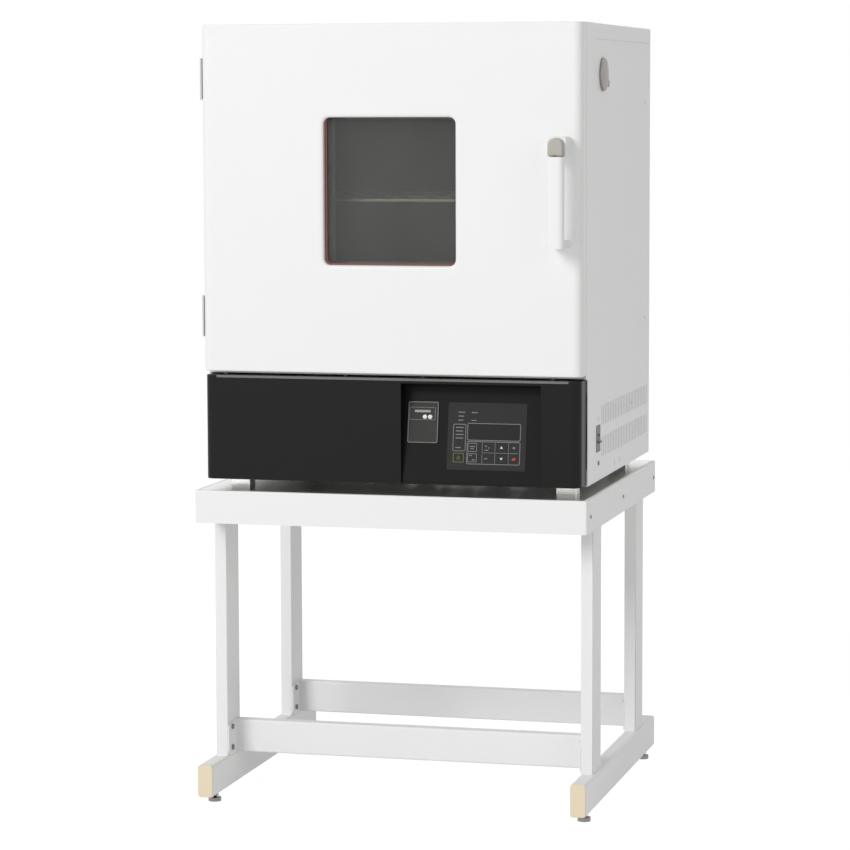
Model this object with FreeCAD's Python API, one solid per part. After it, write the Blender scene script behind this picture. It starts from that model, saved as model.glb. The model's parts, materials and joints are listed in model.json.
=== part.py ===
import FreeCAD, Part
import math
import os

V = FreeCAD.Vector
os.makedirs("parts", exist_ok=True)

# X runs across the oven from its middle, Y from the door's face to the back, Z up from the floor.
# Oven case
half_width = 355.0
rear = 650.0
table_top = 592.0
oven_foot = 18.0
case_tall = 832.0
ledge_up = 193.5
cover_deep = 28.5
cover_front = 104.0
case_front = 38.0
fascia_rear = 52.0
skin = 1.2
seam = 0.3
inside = half_width - skin
case_bottom = table_top + oven_foot
case_top = case_bottom + case_tall
cover_seam = case_top - cover_deep
ledge = case_bottom + ledge_up
pan_bottom = case_bottom + skin
fascia_bottom = case_bottom + 2.0

# Chamber
side_wall = 55.0
roof_wall = 60.0
back_wall = 60.0
under_cell = 48.5
heater_room = 30.0
frame_thick = 1.5
cell_half = half_width - side_wall
cell_bottom = ledge + under_cell
cell_top = case_top - roof_wall
cell_front = case_front + frame_thick
cell_rear = rear - back_wall
floor_level = cell_bottom + heater_room
shelf_levels = (floor_level + 94.0, floor_level + 238.0)
shelf_rim = 5.5
shelf_front = 98.0
shelf_rear = cell_rear - 12.0
rack_inner = cell_half - 13.0
shelf_half = rack_inner - 5.0

# Door
door_thick = 36.0
door_corner = 16.0
door_bend = 2.4
door_bottom = ledge + 8.0
window_half = 124.3
window_tall = 270.5
window_low = door_bottom + 194.2
window_high = window_low + window_tall
window_corner = 12.0
rim_radius = 7.5
rim_depth = 10.0
pane = 4.0
pane_cover = 15.7
pane_half = window_half + pane_cover
pane_low = window_low - pane_cover
pane_high = window_high + pane_cover
plug_gap = 12.0
plug_half = cell_half - plug_gap
plug_low = floor_level + plug_gap
plug_high = cell_top - plug_gap
plug_depth = 26.0
seal_out = 8.0
seal_middle = cell_half + seal_out
seal_low = floor_level - seal_out
seal_high = cell_top + seal_out
seal_width = 10.0

# Handle and latch
grip_wide = 29.0
grip_tall = 161.5
grip_right = half_width - 23.0
grip_left = grip_right - grip_wide
latch_level = case_top - 221.0
housing_low = latch_level - 18.0
housing_high = latch_level + 19.0
grip_high = housing_low + 1.5
grip_low = grip_high - grip_tall
handle_front = -60.0
grip_deep = 20.0
housing_front = -44.0
button_front = -56.0
thumb_back = housing_front + 2.5
travel = 4.0
stem_x = grip_left + 10.0
stem_radius = 4.0
latch_x = stem_x + 20.0
latch_y = 20.0
pin_radius = 3.0
running = 0.05
catch_half = 15.0
catch_up = 12.0

# Hinges
hinge_out = 6.5
hinge_x = -half_width - hinge_out
hinge_y = case_front - 1.0
knuckle = 6.0
hinge_bottoms = (door_bottom + 60.5, case_top - 136.0)
lower_half_tall = 46.0
hinge_tall = 76.0
leaf = 2.0
leaf_clear = 7.5
leaf_head = (3.0, 1.2)

# Air outlet
outlet_y = 179.5
outlet_z = case_top - 92.0
duct_radius = 22.0
cap_radius = 30.0
cap_wall = 1.2
seat_radius = 26.0

# Controls: places on the sloping panel are measured from the recess's left wall and up the slope
recess_wide = 259.2
recess_right = half_width - 75.3
recess_left = recess_right - recess_wide
recess_floor = fascia_bottom + 2.0
recess_roof = ledge - 8.5
slope_front = 5.0
slope_rear = 32.0
slope_top = recess_roof - 17.0
slope_angle = math.degrees(math.atan2(slope_rear - slope_front, slope_top - recess_floor))
sheet_thick = 0.8
key_rise = 0.5
keys = {
    "key_power": (94.1, 114.9, 39.0, 56.5),
    "key_menu": (121.1, 138.7, 58.9, 74.9),
    "key_back": (121.1, 138.7, 40.0, 56.4),
    "key_up": (174.0, 194.9, 59.8, 75.2),
    "key_down": (174.0, 194.9, 39.1, 55.1),
}
set_buttons = {"set_button_left": 39.9, "set_button_right": 49.7}
set_button_v = 120.4
set_button_radius = 3.8
breaker_y = 146.0
breaker_z = case_bottom + 77.5

# Stand
stand_half = half_width + 13.0
stand_front = -16.0
stand_rear = rear + 2.0
apron_tall = 61.0
apron_bottom = table_top - apron_tall
apron_wall = 1.8
table_sheet = 2.0
rail_outer = stand_half - 0.5
rail_low = 17.5
rail_tall = 60.0
rail_high = rail_low + rail_tall
leg_wide = 22.6
leg_deep = 74.6
leg_outer = rail_outer - 6.5
leg_inner = leg_outer - leg_wide
leg_fronts = (stand_front + 90.6, stand_rear - 165.5)
cap_flange = 3.4
foot_x = (leg_inner + rail_outer) / 2
foot_ys = (stand_front + 53.0, stand_rear - 46.0)
cross_tall = 62.0
cross_high = rail_high + cross_tall
cross_ys = [y + 47.4 for y in leg_fronts]
apron_screws = (stand_front + 34.8, (stand_front + stand_rear) / 2 + 2.7, stand_rear - 19.1)
apron_screw_z = table_top - 32.0
leg_screws = (rail_high + 13.5, cross_high - 8.9)

axes = {"x": V(1, 0, 0), "y": V(0, 1, 0), "z": V(0, 0, 1)}
pieces = {}


def place(axis, a, b, level):
    spots = {"x": V(level, a, b), "y": V(a, level, b), "z": V(a, b, level)}
    return spots[axis]


def box(x0, x1, y0, y1, z0, z1):
    return Part.makeBox(x1 - x0, y1 - y0, z1 - z0, V(x0, y0, z0))


def rod(axis, a, b, radius, lo, hi):
    return Part.makeCylinder(radius, hi - lo, place(axis, a, b, lo), axes[axis])


def prism(axis, points, lo, hi, radii=0.0):
    # a bar whose section is a polygon with rounded corners
    count = len(points)
    if not isinstance(radii, (list, tuple)):
        radii = [radii] * count
    edges = []
    starts = []
    ends = []
    for i in range(count):
        here = place(axis, points[i][0], points[i][1], lo)
        before = place(axis, points[i - 1][0], points[i - 1][1], lo)
        after = place(axis, points[(i + 1) % count][0], points[(i + 1) % count][1], lo)
        back = (before - here).normalize()
        on = (after - here).normalize()
        if radii[i] <= 0:
            starts.append(here)
            ends.append(here)
            continue
        half = back.getAngle(on) / 2
        run = radii[i] / math.tan(half)
        middle = (back + on).normalize()
        centre = here + middle * (radii[i] / math.sin(half))
        starts.append(here + back * run)
        ends.append(here + on * run)
        edges.append(Part.Arc(starts[i], centre - middle * radii[i], ends[i]).toShape())
    for i in range(count):
        first = ends[i]
        second = starts[(i + 1) % count]
        if first.distanceToPoint(second) > 1e-6:
            edges.append(Part.makeLine(first, second))
    wire = Part.Wire(Part.__sortEdges__(edges))
    return Part.Face(wire).extrude(axes[axis] * (hi - lo))


def shifted(points, gap, closed=False):
    # the same line of points moved to its left by the gap
    count = len(points)
    moved = []
    for i in range(count):
        ends = []
        for j in (i - 1, i):
            if not closed and (j < 0 or j + 1 >= count):
                continue
            a = points[j]
            b = points[(j + 1) % count]
            size = math.hypot(b[0] - a[0], b[1] - a[1])
            ends.append((-(b[1] - a[1]) / size, (b[0] - a[0]) / size))
        sum_a = sum(n[0] for n in ends)
        sum_b = sum(n[1] for n in ends)
        scale = gap * len(ends) / (sum_a ** 2 + sum_b ** 2)
        moved.append((points[i][0] + sum_a * scale, points[i][1] + sum_b * scale))
    return moved


def folded(axis, points, thick, bend, lo, hi):
    # a folded sheet: its face follows the points and its thickness lies to their left
    inner = shifted(points, thick)
    outside = []
    within = []
    for i in range(len(points)):
        if i in (0, len(points) - 1):
            outside.append(0)
            within.append(0)
            continue
        ax = points[i][0] - points[i - 1][0]
        ay = points[i][1] - points[i - 1][1]
        bx = points[i + 1][0] - points[i][0]
        by = points[i + 1][1] - points[i][1]
        left = ax * by - ay * bx > 0
        outside.append(bend + thick if left else bend)
        within.append(bend if left else bend + thick)
    return prism(axis, points + inner[::-1], lo, hi, outside + within[::-1])


def rounded(axis, a0, a1, b0, b1, radius, lo, hi):
    return prism(axis, [(a0, b0), (a1, b0), (a1, b1), (a0, b1)], lo, hi, radius)


def ring(axis, a0, a1, b0, b1, radius, width, lo, hi):
    hole = rounded(axis, a0 + width, a1 - width, b0 + width, b1 - width,
                   max(radius - width, 0.0), lo - 1, hi + 1)
    return rounded(axis, a0, a1, b0, b1, radius, lo, hi).cut(hole)


def cut(shape, tools):
    return shape.cut(tools) if tools else shape


def fuse(shapes):
    whole = shapes[0].fuse(shapes[1:])
    return whole.removeSplitter()


def group(shapes):
    return Part.makeCompound(shapes)


def mirrored(shape):
    return shape.mirror(V(0, 0, 0), V(1, 0, 0))


def both_sides(shapes):
    return shapes + [mirrored(s) for s in shapes]


def screw(axis, a, b, seat, toward, head=4.0, tall=2.2, shank=2.0, reach=3.0):
    # a domed head on its seat, its shank going back the other way
    tip = seat - toward * reach
    stem = rod(axis, a, b, shank, min(seat, tip), max(seat, tip))
    crown = seat + toward * tall
    cap = rod(axis, a, b, head, min(seat, crown), max(seat, crown))
    return stem.fuse(cap).removeSplitter()


def hole(axis, a, b, seat, toward, shank=2.0, reach=3.0):
    tip = seat - toward * (reach + 0.5)
    start = seat + toward * 0.5
    return rod(axis, a, b, shank, min(start, tip), max(start, tip))


def on_slope(shape):
    # drawn upright with its back at Y 0 and the recess's left wall at X 0, then laid on the sloping panel
    laid = shape.copy()
    laid.rotate(V(0, 0, 0), V(1, 0, 0), -slope_angle)
    laid.translate(V(recess_left, slope_front, recess_floor))
    return laid


# Side panels: a plate stepped for the fascia, returned inwards at its top, foot and back
vent_pitch = 15.65
vent_slot = 4.0
vent_count = 29
vent_start = 180.5
vent_banks = ((case_bottom + 40.5, case_bottom + 78.0), (case_bottom + 99.0, case_bottom + 136.0))
foot_slots = (299.4, 350.7)
flange_deep = 15.0
panel_top = cover_seam - seam
panel_rear = rear - skin
step_front = fascia_rear + 1.0
step_top = ledge + seam
outline = [(case_front, step_top), (step_front, step_top), (step_front, case_bottom),
           (panel_rear, case_bottom), (panel_rear, panel_top), (cover_front - seam, panel_top),
           (cover_front - seam, case_top), (case_front, case_top)]
vents = []
for low, high in vent_banks:
    for i in range(vent_count):
        y0 = vent_start + i * vent_pitch
        vents.append(box(inside - 1, half_width + 1, y0, y0 + vent_slot, low, high))
for y in foot_slots:
    vents.append(box(inside - 1, half_width + 1, y, y + vent_slot, case_bottom + 12.0, case_bottom + 22.0))
panel = fuse([
    prism("x", outline, inside, half_width),
    box(inside - 20.0, inside, panel_rear - skin, panel_rear, case_bottom, panel_top),
    box(inside - flange_deep, inside, step_front, panel_rear - skin, case_bottom, case_bottom + skin),
    box(inside - flange_deep, inside, cover_front, panel_rear - skin, panel_top - skin, panel_top),
])
side_screws = [(470.8, case_bottom + 114.5), (rear - 50.0, case_top - 142.0), (rear - 50.0, ledge + 76.5)]
breaker_screws = [(breaker_y + 4.0, breaker_z + 35.5), (breaker_y + 2.0, breaker_z - 45.5)]
side_holes = [hole("x", y, z, half_width, 1) for y, z in side_screws]
panel = cut(panel, vents + side_holes)
nose_half = 17.0
nose_up = 24.5
breaker_hole = box(inside - 1, half_width + 1, breaker_y - nose_half, breaker_y + nose_half,
                   breaker_z - nose_up, breaker_z + nose_up)
outlet_hole = rod("x", outlet_y, outlet_z, duct_radius + 0.2, inside - 1, half_width + 1)
leaf_screw_y = (hinge_y + 15.0, hinge_y + 25.0)
leaf_screws = []
for low in hinge_bottoms:
    for y in leaf_screw_y:
        leaf_screws.append((y, low + lower_half_tall / 2))
leaf_holes = [hole("x", y, z, -half_width - leaf, -1, reach=4.0) for y, z in leaf_screws]
breaker_holes = [hole("x", y, z, half_width, 1) for y, z in breaker_screws]
pieces["side_panel_right"] = cut(panel, [breaker_hole, outlet_hole] + breaker_holes)
pieces["side_panel_left"] = cut(mirrored(panel), leaf_holes)

# Top cover and rear panel
cover = folded("y", [(half_width, cover_seam), (half_width, case_top), (-half_width, case_top),
                     (-half_width, cover_seam)], skin, 1.5, cover_front, rear - skin)
cover_back = prism("y", [(-half_width, cover_seam), (half_width, cover_seam), (half_width, case_top),
                         (-half_width, case_top)], rear - skin, rear, [0, 0, 2.7, 2.7])
pieces["top_cover"] = fuse([cover, cover_back])
rear_half = inside - 1.5 * skin
rear_bottom = pan_bottom + 0.8
louvre_wide = 110.0
louvre_tall = 6.0
louvre_pitch = 22.0
louvres = []
for column in (-230.0, -80.0, 70.0):
    for row in range(6):
        z0 = case_bottom + 30.0 + row * louvre_pitch
        louvres.append(box(column, column + louvre_wide, rear - 3, rear + 1, z0, z0 + louvre_tall))
gland_x = half_width - 105.0
gland_z = case_bottom + 70.0
gland_shank = 8.0
rear_screw_x = half_width - 11.0
rear_screw_zs = (case_bottom + 30.0, case_bottom + 400.0, cover_seam - 23.5)
rear_spots = [(x, z) for x in (-rear_screw_x, rear_screw_x) for z in rear_screw_zs]
rear_holes = [hole("y", x, z, rear, 1) for x, z in rear_spots]
back = box(-rear_half, rear_half, rear - skin, rear, rear_bottom, panel_top)
gland_hole = rod("y", gland_x, gland_z, gland_shank, rear - 3, rear + 1)
pieces["rear_panel"] = cut(back, louvres + rear_holes + [gland_hole])
for name in ("side_panel_right", "side_panel_left"):
    pieces[name] = cut(pieces[name], rear_holes)

# Base pan and the partition over the electrics
pan_front = fascia_rear + 2.0
pan_rear = panel_rear - skin - seam
floor_half = inside - seam
pan_thick = 1.5
pan_profile = [(pan_front, pan_bottom + 28.8), (pan_front, pan_bottom), (pan_rear, pan_bottom),
               (pan_rear, pan_bottom + 21.8)]
pan = folded("x", pan_profile, pan_thick, 1.0, -floor_half, floor_half)
pan_slots = [box(-200.0 + i * 40.0, -180.0 + i * 40.0, 250.0, 450.0, pan_bottom - 1, pan_bottom + 2)
             for i in range(10)]
pieces["base_pan"] = cut(pan, pan_slots)
deck_low = ledge - 23.5
deck_profile = [(floor_half, deck_low), (floor_half, ledge), (-floor_half, ledge), (-floor_half, deck_low)]
deck = folded("y", deck_profile, skin, 1.0, pan_front, pan_rear)
lead_hole = rod("z", -150.0, cell_rear - 30.0, 12.0, ledge - 3, ledge + 1)
pieces["deck_plate"] = cut(deck, [lead_hole])

# Front frame: folded back over the top and over the partition, open for the chamber and the latch
frame_profile = [(cover_front - seam, case_top), (case_front, case_top), (case_front, ledge),
                 (fascia_rear + 18.0, ledge)]
frame = folded("x", frame_profile, frame_thick, 1.0, -floor_half, floor_half)
mouth = rounded("y", -cell_half, cell_half, floor_level, cell_top, 5.0, case_front - 1, cell_front + 1)
catch = box(latch_x - catch_half, latch_x + catch_half, case_front - 1, cell_front + 1,
            latch_level - catch_up, latch_level + catch_up)
pieces["front_frame"] = cut(frame, [mouth, catch])
keeper_half = catch_half + 2.0
keeper_up = catch_up + 2.0
keeper_rear = 59.5
keeper_out = rounded("y", latch_x - keeper_half - skin, latch_x + keeper_half + skin,
                     latch_level - keeper_up - skin, latch_level + keeper_up + skin, 3.0,
                     cell_front, keeper_rear)
keeper_in = rounded("y", latch_x - keeper_half, latch_x + keeper_half, latch_level - keeper_up,
                    latch_level + keeper_up, 2.0, cell_front - 1, keeper_rear - skin)
pieces["latch_keeper"] = keeper_out.cut(keeper_in)

# Chamber: an open box with a flange behind the front frame
cell_wall = 1.2
shell_out = box(-cell_half - cell_wall, cell_half + cell_wall, cell_front, cell_rear + cell_wall,
                cell_bottom - cell_wall, cell_top + cell_wall)
shell_in = box(-cell_half, cell_half, cell_front - 1, cell_rear, cell_bottom, cell_top)
collar_wide = 14.0
collar = box(-cell_half - collar_wide, cell_half + collar_wide, cell_front, cell_front + cell_wall,
             cell_bottom - collar_wide, cell_top + collar_wide)
duct_hole = rod("x", outlet_y, outlet_z, duct_radius, cell_half - 2, cell_half + 3)
heater_xs = (90.0 - cell_half, -90.0, 90.0, cell_half - 90.0)
heater_level = cell_bottom + 14.0
heater_radius = 4.0
sensor_spots = ((150.0, cell_top - 30.0), (190.0, cell_top - 30.0))
sensor_radius = 3.0
cell_holes = [duct_hole]
for x in heater_xs:
    cell_holes.append(rod("y", x, heater_level, heater_radius, cell_rear - 2, cell_rear + 3))
for x, z in sensor_spots:
    cell_holes.append(rod("y", x, z, sensor_radius, cell_rear - 2, cell_rear + 3))
pieces["chamber"] = cut(shell_out.fuse(collar), [shell_in] + cell_holes).removeSplitter()

# Insulation round the chamber
wool_gap = 0.4
wool_half = inside - wool_gap
wool_front = 60.0
wool_rear = rear - 10.0
wool_bottom = ledge + frame_thick + wool_gap
wool_top = case_top - skin - wool_gap
flange_under = panel_top - skin - wool_gap
wool = box(-wool_half, wool_half, wool_front, wool_rear, wool_bottom, wool_top)
wool_cuts = [
    box(-cell_half - cell_wall - wool_gap, cell_half + cell_wall + wool_gap, wool_front - 1,
        cell_rear + cell_wall + wool_gap,
        cell_bottom - cell_wall - wool_gap, cell_top + cell_wall + wool_gap),
    rod("x", outlet_y, outlet_z, duct_radius + wool_gap, cell_half, inside + 1),
    box(inside - flange_deep - wool_gap, half_width, wool_front - 1, rear, flange_under, case_top),
    box(-half_width, wool_gap + flange_deep - inside, wool_front - 1, rear, flange_under, case_top),
]
for x in heater_xs:
    wool_cuts.append(rod("y", x, heater_level, heater_radius + wool_gap, cell_rear, wool_rear + 1))
for x, z in sensor_spots:
    wool_cuts.append(rod("y", x, z, sensor_radius + wool_gap, cell_rear, wool_rear + 1))
pieces["chamber_insulation"] = cut(wool, wool_cuts)

# Heaters: two hairpins under the perforated floor, their tails through the back wall
hairpins = []
hairpin_front = 120.0
for left, right in ((heater_xs[0], heater_xs[1]), (heater_xs[2], heater_xs[3])):
    bend = (right - left) / 2
    near = hairpin_front + bend
    legs = [rod("y", x, heater_level, heater_radius, near, wool_rear) for x in (left, right)]
    nose = Part.makeTorus(bend, heater_radius, V(left + bend, near, heater_level), V(0, 0, 1), 0, 360, 180)
    nose.rotate(V(left + bend, near, heater_level), V(0, 0, 1), 180)
    hairpins.append(fuse([nose] + legs))
pieces["heaters"] = group(hairpins)

# Sensors: two probes with their ferrules against the back wall
probes = []
for x, z in sensor_spots:
    ferrule = rod("y", x, z, 7.0, cell_rear - 8, cell_rear)
    probes.append(fuse([rod("y", x, z, sensor_radius, cell_rear - 90.0, wool_rear), ferrule]))
pieces["chamber_sensors"] = group(probes)

# Perforated floor on two folded feet over the heaters
tray_half = cell_half - 2.0
tray_front = 66.0
tray_rear = cell_rear - 2.0
tray_profile = [(tray_half, cell_bottom), (tray_half, floor_level), (-tray_half, floor_level),
                (-tray_half, cell_bottom)]
tray = folded("y", tray_profile, skin, 1.0, tray_front, tray_rear)
perforations = []
for i in range(9):
    for j in range(5):
        x0 = 40.0 - cell_half + i * 60.0
        y0 = 100.0 + j * 95.0
        perforations.append(box(x0, x0 + 40.0, y0, y0 + 10.0, floor_level - 3, floor_level + 1))
pieces["floor_plate"] = cut(tray, perforations)

# Ladder racks: two uprights and a runner for each shelf position, standing on the chamber's floor
rack_posts = (shelf_front + 32.0, cell_rear - 50.0)
rack_front = shelf_front - 8.0
rack_rear = shelf_rear + 4.0
post = 9.0
runner_pitch = 36.0
shelf_sheet = 1.2
runner_low = shelf_levels[0] + shelf_rim - shelf_sheet - runner_pitch
rack_top = cell_top - 32.0
runner_count = int((rack_top - runner_low) // runner_pitch) + 1
runners = []
for i in range(runner_count):
    level = runner_low + i * runner_pitch
    runners.append(box(rack_inner, cell_half - post, rack_front, rack_rear, level - 2.0, level))
posts = [box(cell_half - post, cell_half, y - 8, y + 8, floor_level + seam, rack_top) for y in rack_posts]
rack = fuse(posts + runners)
pieces["shelf_racks"] = group(both_sides([rack]))


# Shelves: a slotted sheet with its front and back turned down, lying on the runners
def shelf(level):
    rim = shelf_rim
    top = level + rim
    profile = [(shelf_rear, level), (shelf_rear, top), (shelf_front, top), (shelf_front, level)]
    sheet = folded("x", profile, shelf_sheet, 0.6, -shelf_half, shelf_half)
    lugs = box(-cell_half + post + 1.0, cell_half - post - 1.0, shelf_front + 62.0, shelf_rear - 58.0,
               level + rim - shelf_sheet, level + rim)
    feet = []
    for side in (-1, 1):
        edge = side * (shelf_half - 0.6)
        feet.append(box(edge - 0.6, edge + 0.6, shelf_front + 3, shelf_rear - 3, level, level + rim - 1.0))
    slots = []
    for i in range(11):
        for j in range(4):
            x0 = 24.0 - shelf_half + i * 48.0
            y0 = shelf_front + 22.0 + j * 115.0
            slots.append(box(x0, x0 + 36.0, y0, y0 + 80.0, level + 1, level + rim + 1))
    return cut(fuse([sheet, lugs] + feet), slots)


lower_shelf_level, upper_shelf_level = shelf_levels
pieces["shelf_lower"] = shelf(lower_shelf_level)
pieces["shelf_upper"] = shelf(upper_shelf_level)

# Outlet seat: the duct from the chamber, a flange on the side panel, a crossbar with its pin, a windowed ring
duct_wall = 1.2
seat_base = 1.0
seat_top = half_width + 4.4
cap_face = seat_top + seam
pin_end = cap_face + cap_wall + seam
duct = rod("x", outlet_y, outlet_z, duct_radius, cell_half - 1.2, half_width)
seat = rod("x", outlet_y, outlet_z, cap_radius - 2, half_width, half_width + seat_base)
seat = seat.fuse([duct, rod("x", outlet_y, outlet_z, seat_radius, half_width, seat_top)])
seat = seat.cut(rod("x", outlet_y, outlet_z, seat_radius - 2, half_width + seat_base, seat_top + 1))
seat = seat.cut(rod("x", outlet_y, outlet_z, duct_radius - duct_wall, cell_half - 3, seat_top + 1))
bar = box(half_width, half_width + seat_base + 1, outlet_y - duct_radius, outlet_y + duct_radius,
          outlet_z - 4, outlet_z + 4)
pivot = rod("x", outlet_y, outlet_z, pin_radius, half_width, pin_end)
head = rod("x", outlet_y, outlet_z, pin_radius + 2.5, pin_end, pin_end + 1.2)


def windows(lo, hi, radius, turn):
    # three openings in a ring, each a sixth of a turn wide
    cutters = []
    for i in range(3):
        start = math.radians(turn + i * 120 - 24)
        end = math.radians(turn + i * 120 + 24)
        reach = radius * 1.3
        points = [(outlet_y, outlet_z)]
        for angle in (start, end):
            points.append((outlet_y + reach * math.cos(angle), outlet_z + reach * math.sin(angle)))
        cutters.append(prism("x", points, lo, hi))
    return cutters


seat = cut(seat, windows(half_width + seat_base, seat_top - 0.8, seat_radius, 30.0))
pieces["exhaust_seat"] = fuse([seat, bar, pivot, head])
cap_low = half_width + seat_base + seam
cap = rod("x", outlet_y, outlet_z, cap_radius, cap_low, cap_face + cap_wall)
cap = cap.cut(rod("x", outlet_y, outlet_z, cap_radius - cap_wall, cap_low - 1, cap_face))
cap = cut(cap, windows(cap_low - 1, cap_face - 0.8, cap_radius, 90.0))
tab = prism("x", [(outlet_y + cap_radius - 3, outlet_z - 6), (outlet_y + cap_radius + 10, outlet_z - 6),
                  (outlet_y + cap_radius + 10, outlet_z + 6), (outlet_y + cap_radius - 3, outlet_z + 6)],
            cap_face, cap_face + cap_wall, [0, 3, 3, 0])
tab.rotate(V(half_width, outlet_y, outlet_z), V(1, 0, 0), -27)
cap = cap.fuse(tab).cut(rod("x", outlet_y, outlet_z, pin_radius + running, half_width, pin_end + 1))
pieces["damper_cap"] = cap.removeSplitter()

# Fascia: a deep black front with rounded upright edges, a ledge on top and a bevel along the ledge
fascia_half = half_width - 2.5
fascia_front = 1.0
fascia_wall = 1.5
fascia_corner = 11.0
bevel_low = (fascia_front, ledge - 3.8)
bevel_half = fascia_half - 18.5
bevel_high = (8.0, ledge)


def fascia_body(inset, low, high, back_gap):
    half = fascia_half - inset
    radius = fascia_corner - inset
    points = [(-half, fascia_rear + back_gap), (-half, fascia_front + inset), (half, fascia_front + inset),
              (half, fascia_rear + back_gap)]
    body = prism("z", points, low, high, [0, radius, radius, 0])
    run = math.hypot(bevel_high[0] - bevel_low[0], bevel_high[1] - bevel_low[1])
    along = ((bevel_high[0] - bevel_low[0]) / run, (bevel_high[1] - bevel_low[1]) / run)
    start = (bevel_low[0] + along[1] * inset - 3 * along[0], bevel_low[1] - along[0] * inset - 3 * along[1])
    end = (bevel_high[0] + along[1] * inset + 2 * along[0], bevel_high[1] - along[0] * inset + 2 * along[1])
    over = ledge + 9
    wedge = prism("x", [start, end, (end[0], over), (start[0], over)], inset - bevel_half, bevel_half - inset)
    return body.cut(wedge)


fascia = fascia_body(0, fascia_bottom, ledge, 0)
fascia = fascia.cut(fascia_body(fascia_wall, fascia_bottom - 1, ledge - fascia_wall, 1))
recess_mouth = rounded("y", recess_left, recess_right, recess_floor, recess_roof, 2.0, 0, fascia_front + 3)
ledge_screws = [(x, 30.0) for x in (34.0 - half_width, -91.0, 54.6, half_width - 60.0)]
ledge_holes = [hole("z", x, y, ledge, 1, reach=2.0) for x, y in ledge_screws]
pieces["fascia_shell"] = cut(fascia, [recess_mouth] + ledge_holes)

# Recess pan behind the fascia's opening, its back sloping
pan_sheet = 1.2
cavity = [(fascia_front + fascia_wall, recess_floor), (slope_front, recess_floor), (slope_rear, slope_top),
          (slope_rear, recess_roof), (fascia_front + fascia_wall, recess_roof)]
recess = prism("x", shifted(cavity, -pan_sheet, True), recess_left - pan_sheet, recess_right + pan_sheet)
recess = recess.cut(prism("x", cavity, recess_left, recess_right))
recess = recess.cut(box(recess_left - 10, recess_right + 10, -5, fascia_front + fascia_wall,
                        recess_floor - 10, recess_roof + 10))
body_u = (11.5, 61.5)
body_v = (78.0, 144.0)
slope_holes = [
    on_slope(box(body_u[0] - 0.3, body_u[1] + 0.3, -3, 3, body_v[0] - 0.3, body_v[1] + 0.3)),
    on_slope(box(89.5, 222.5, -3, 3, 36.0, 114.0)),
]
pieces["recess_pan"] = cut(recess, slope_holes)

# Keypad sheet with a key standing through each of its openings
key_gap = 0.3
sheet = rounded("y", 83.0, 229.0, 25.7, 148.0, 3.0, -sheet_thick, 0)
key_holes = []
for name, (u0, u1, v0, v1) in keys.items():
    key_holes.append(rounded("y", u0 - key_gap, u1 + key_gap, v0 - key_gap, v1 + key_gap, 1.8,
                             -sheet_thick - 1, 1))
    cap_part = rounded("y", u0, u1, v0, v1, 1.5, -sheet_thick - key_rise, key_gap)
    lip = rounded("y", u0 - 1.2, u1 + 1.2, v0 - 1.2, v1 + 1.2, 1.5, key_gap, key_gap + 0.8)
    pieces[name] = on_slope(fuse([cap_part, lip]))
pieces["keypad_panel"] = on_slope(cut(sheet, key_holes))

# Control board behind the keypad: switches under the keys, the display, four pillars to the pan
board_back = 7.0
board_front = 5.4
board = box(85.5, 226.5, board_front, board_back, 28.0, 146.0)
display = box(121.5, 216.5, 1.6, board_front, 81.0, 110.0)
switches = []
for u0, u1, v0, v1 in keys.values():
    u = (u0 + u1) / 2
    v = (v0 + v1) / 2
    switches.append(box(u - 3, u + 3, 2.2, board_front, v - 3, v + 3))
pillar_spots = ((92.5, 31.5), (219.5, 31.5), (97.5, 130.0), (214.5, 130.0))
pillars = [rod("y", u, v, 2.5, pan_sheet, board_front) for u, v in pillar_spots]
pieces["control_board"] = on_slope(fuse([board, display] + switches + pillars))

# Protector: a plate on the slope, its body behind, two round buttons
plate_rise = 2.4
plate = rounded("y", 8.3, 64.7, 73.0, 148.0, 3.0, -plate_rise, 0)
plate = plate.cut(rounded("y", 10.5, 59.2, 114.6, 138.0, 1.5, -plate_rise - 1, 0.8 - plate_rise))
plate = plate.fuse(rounded("y", 20.3, 50.2, 128.4, 132.8, 0.8, 0.2 - plate_rise, -1.0))
button_holes = [rod("y", u, set_button_v, set_button_radius + key_gap, -3, 1) for u in set_buttons.values()]
pieces["protector_plate"] = on_slope(cut(plate, button_holes))
pocket = rounded("y", 33.5, 56.5, 113.4, 127.4, 1.0, -1, 5.0)
block = rounded("y", body_u[0], body_u[1], body_v[0], body_v[1], 2.0, 0, 38.0)
pieces["protector_body"] = on_slope(block.cut(pocket))
for name, u in set_buttons.items():
    knob = rod("y", u, set_button_v, set_button_radius, -4.2, 2.0)
    collar = rod("y", u, set_button_v, set_button_radius + 0.9, key_gap, 2.0)
    pieces[name] = on_slope(fuse([knob, collar]))

# Power board with its relay and sinks, standing on the base pan
tray_level = pan_bottom + pan_thick
mains_left = -260.0
mains_right = -60.0
mains_front = 330.0
mains_back = 470.0
stand_off = 8.0
mains_top = tray_level + stand_off + 1.6
power = [box(mains_left, mains_right, mains_front, mains_back, tray_level + stand_off, mains_top)]
for x in (mains_left + 8.0, mains_right - 8.0):
    for y in (mains_front + 8.0, mains_back - 8.0):
        power.append(rod("z", x, y, 3.0, tray_level, tray_level + stand_off))
power.append(box(mains_left + 20, mains_left + 70, mains_front + 20, mains_front + 60,
                 mains_top, mains_top + 40))
power.append(box(mains_left + 20, mains_left + 120, mains_back - 30, mains_back - 8,
                 mains_top, mains_top + 14))
sink_left = mains_right - 60.0
sink_base = mains_top + 3.4
power.append(box(sink_left, sink_left + 44, mains_front + 20, mains_front + 70, mains_top, sink_base))
for i in range(7):
    fin = sink_left + i * 7
    power.append(box(fin, fin + 2, mains_front + 20, mains_front + 70, sink_base, sink_base + 32))
pieces["power_board"] = fuse(power)

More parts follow.
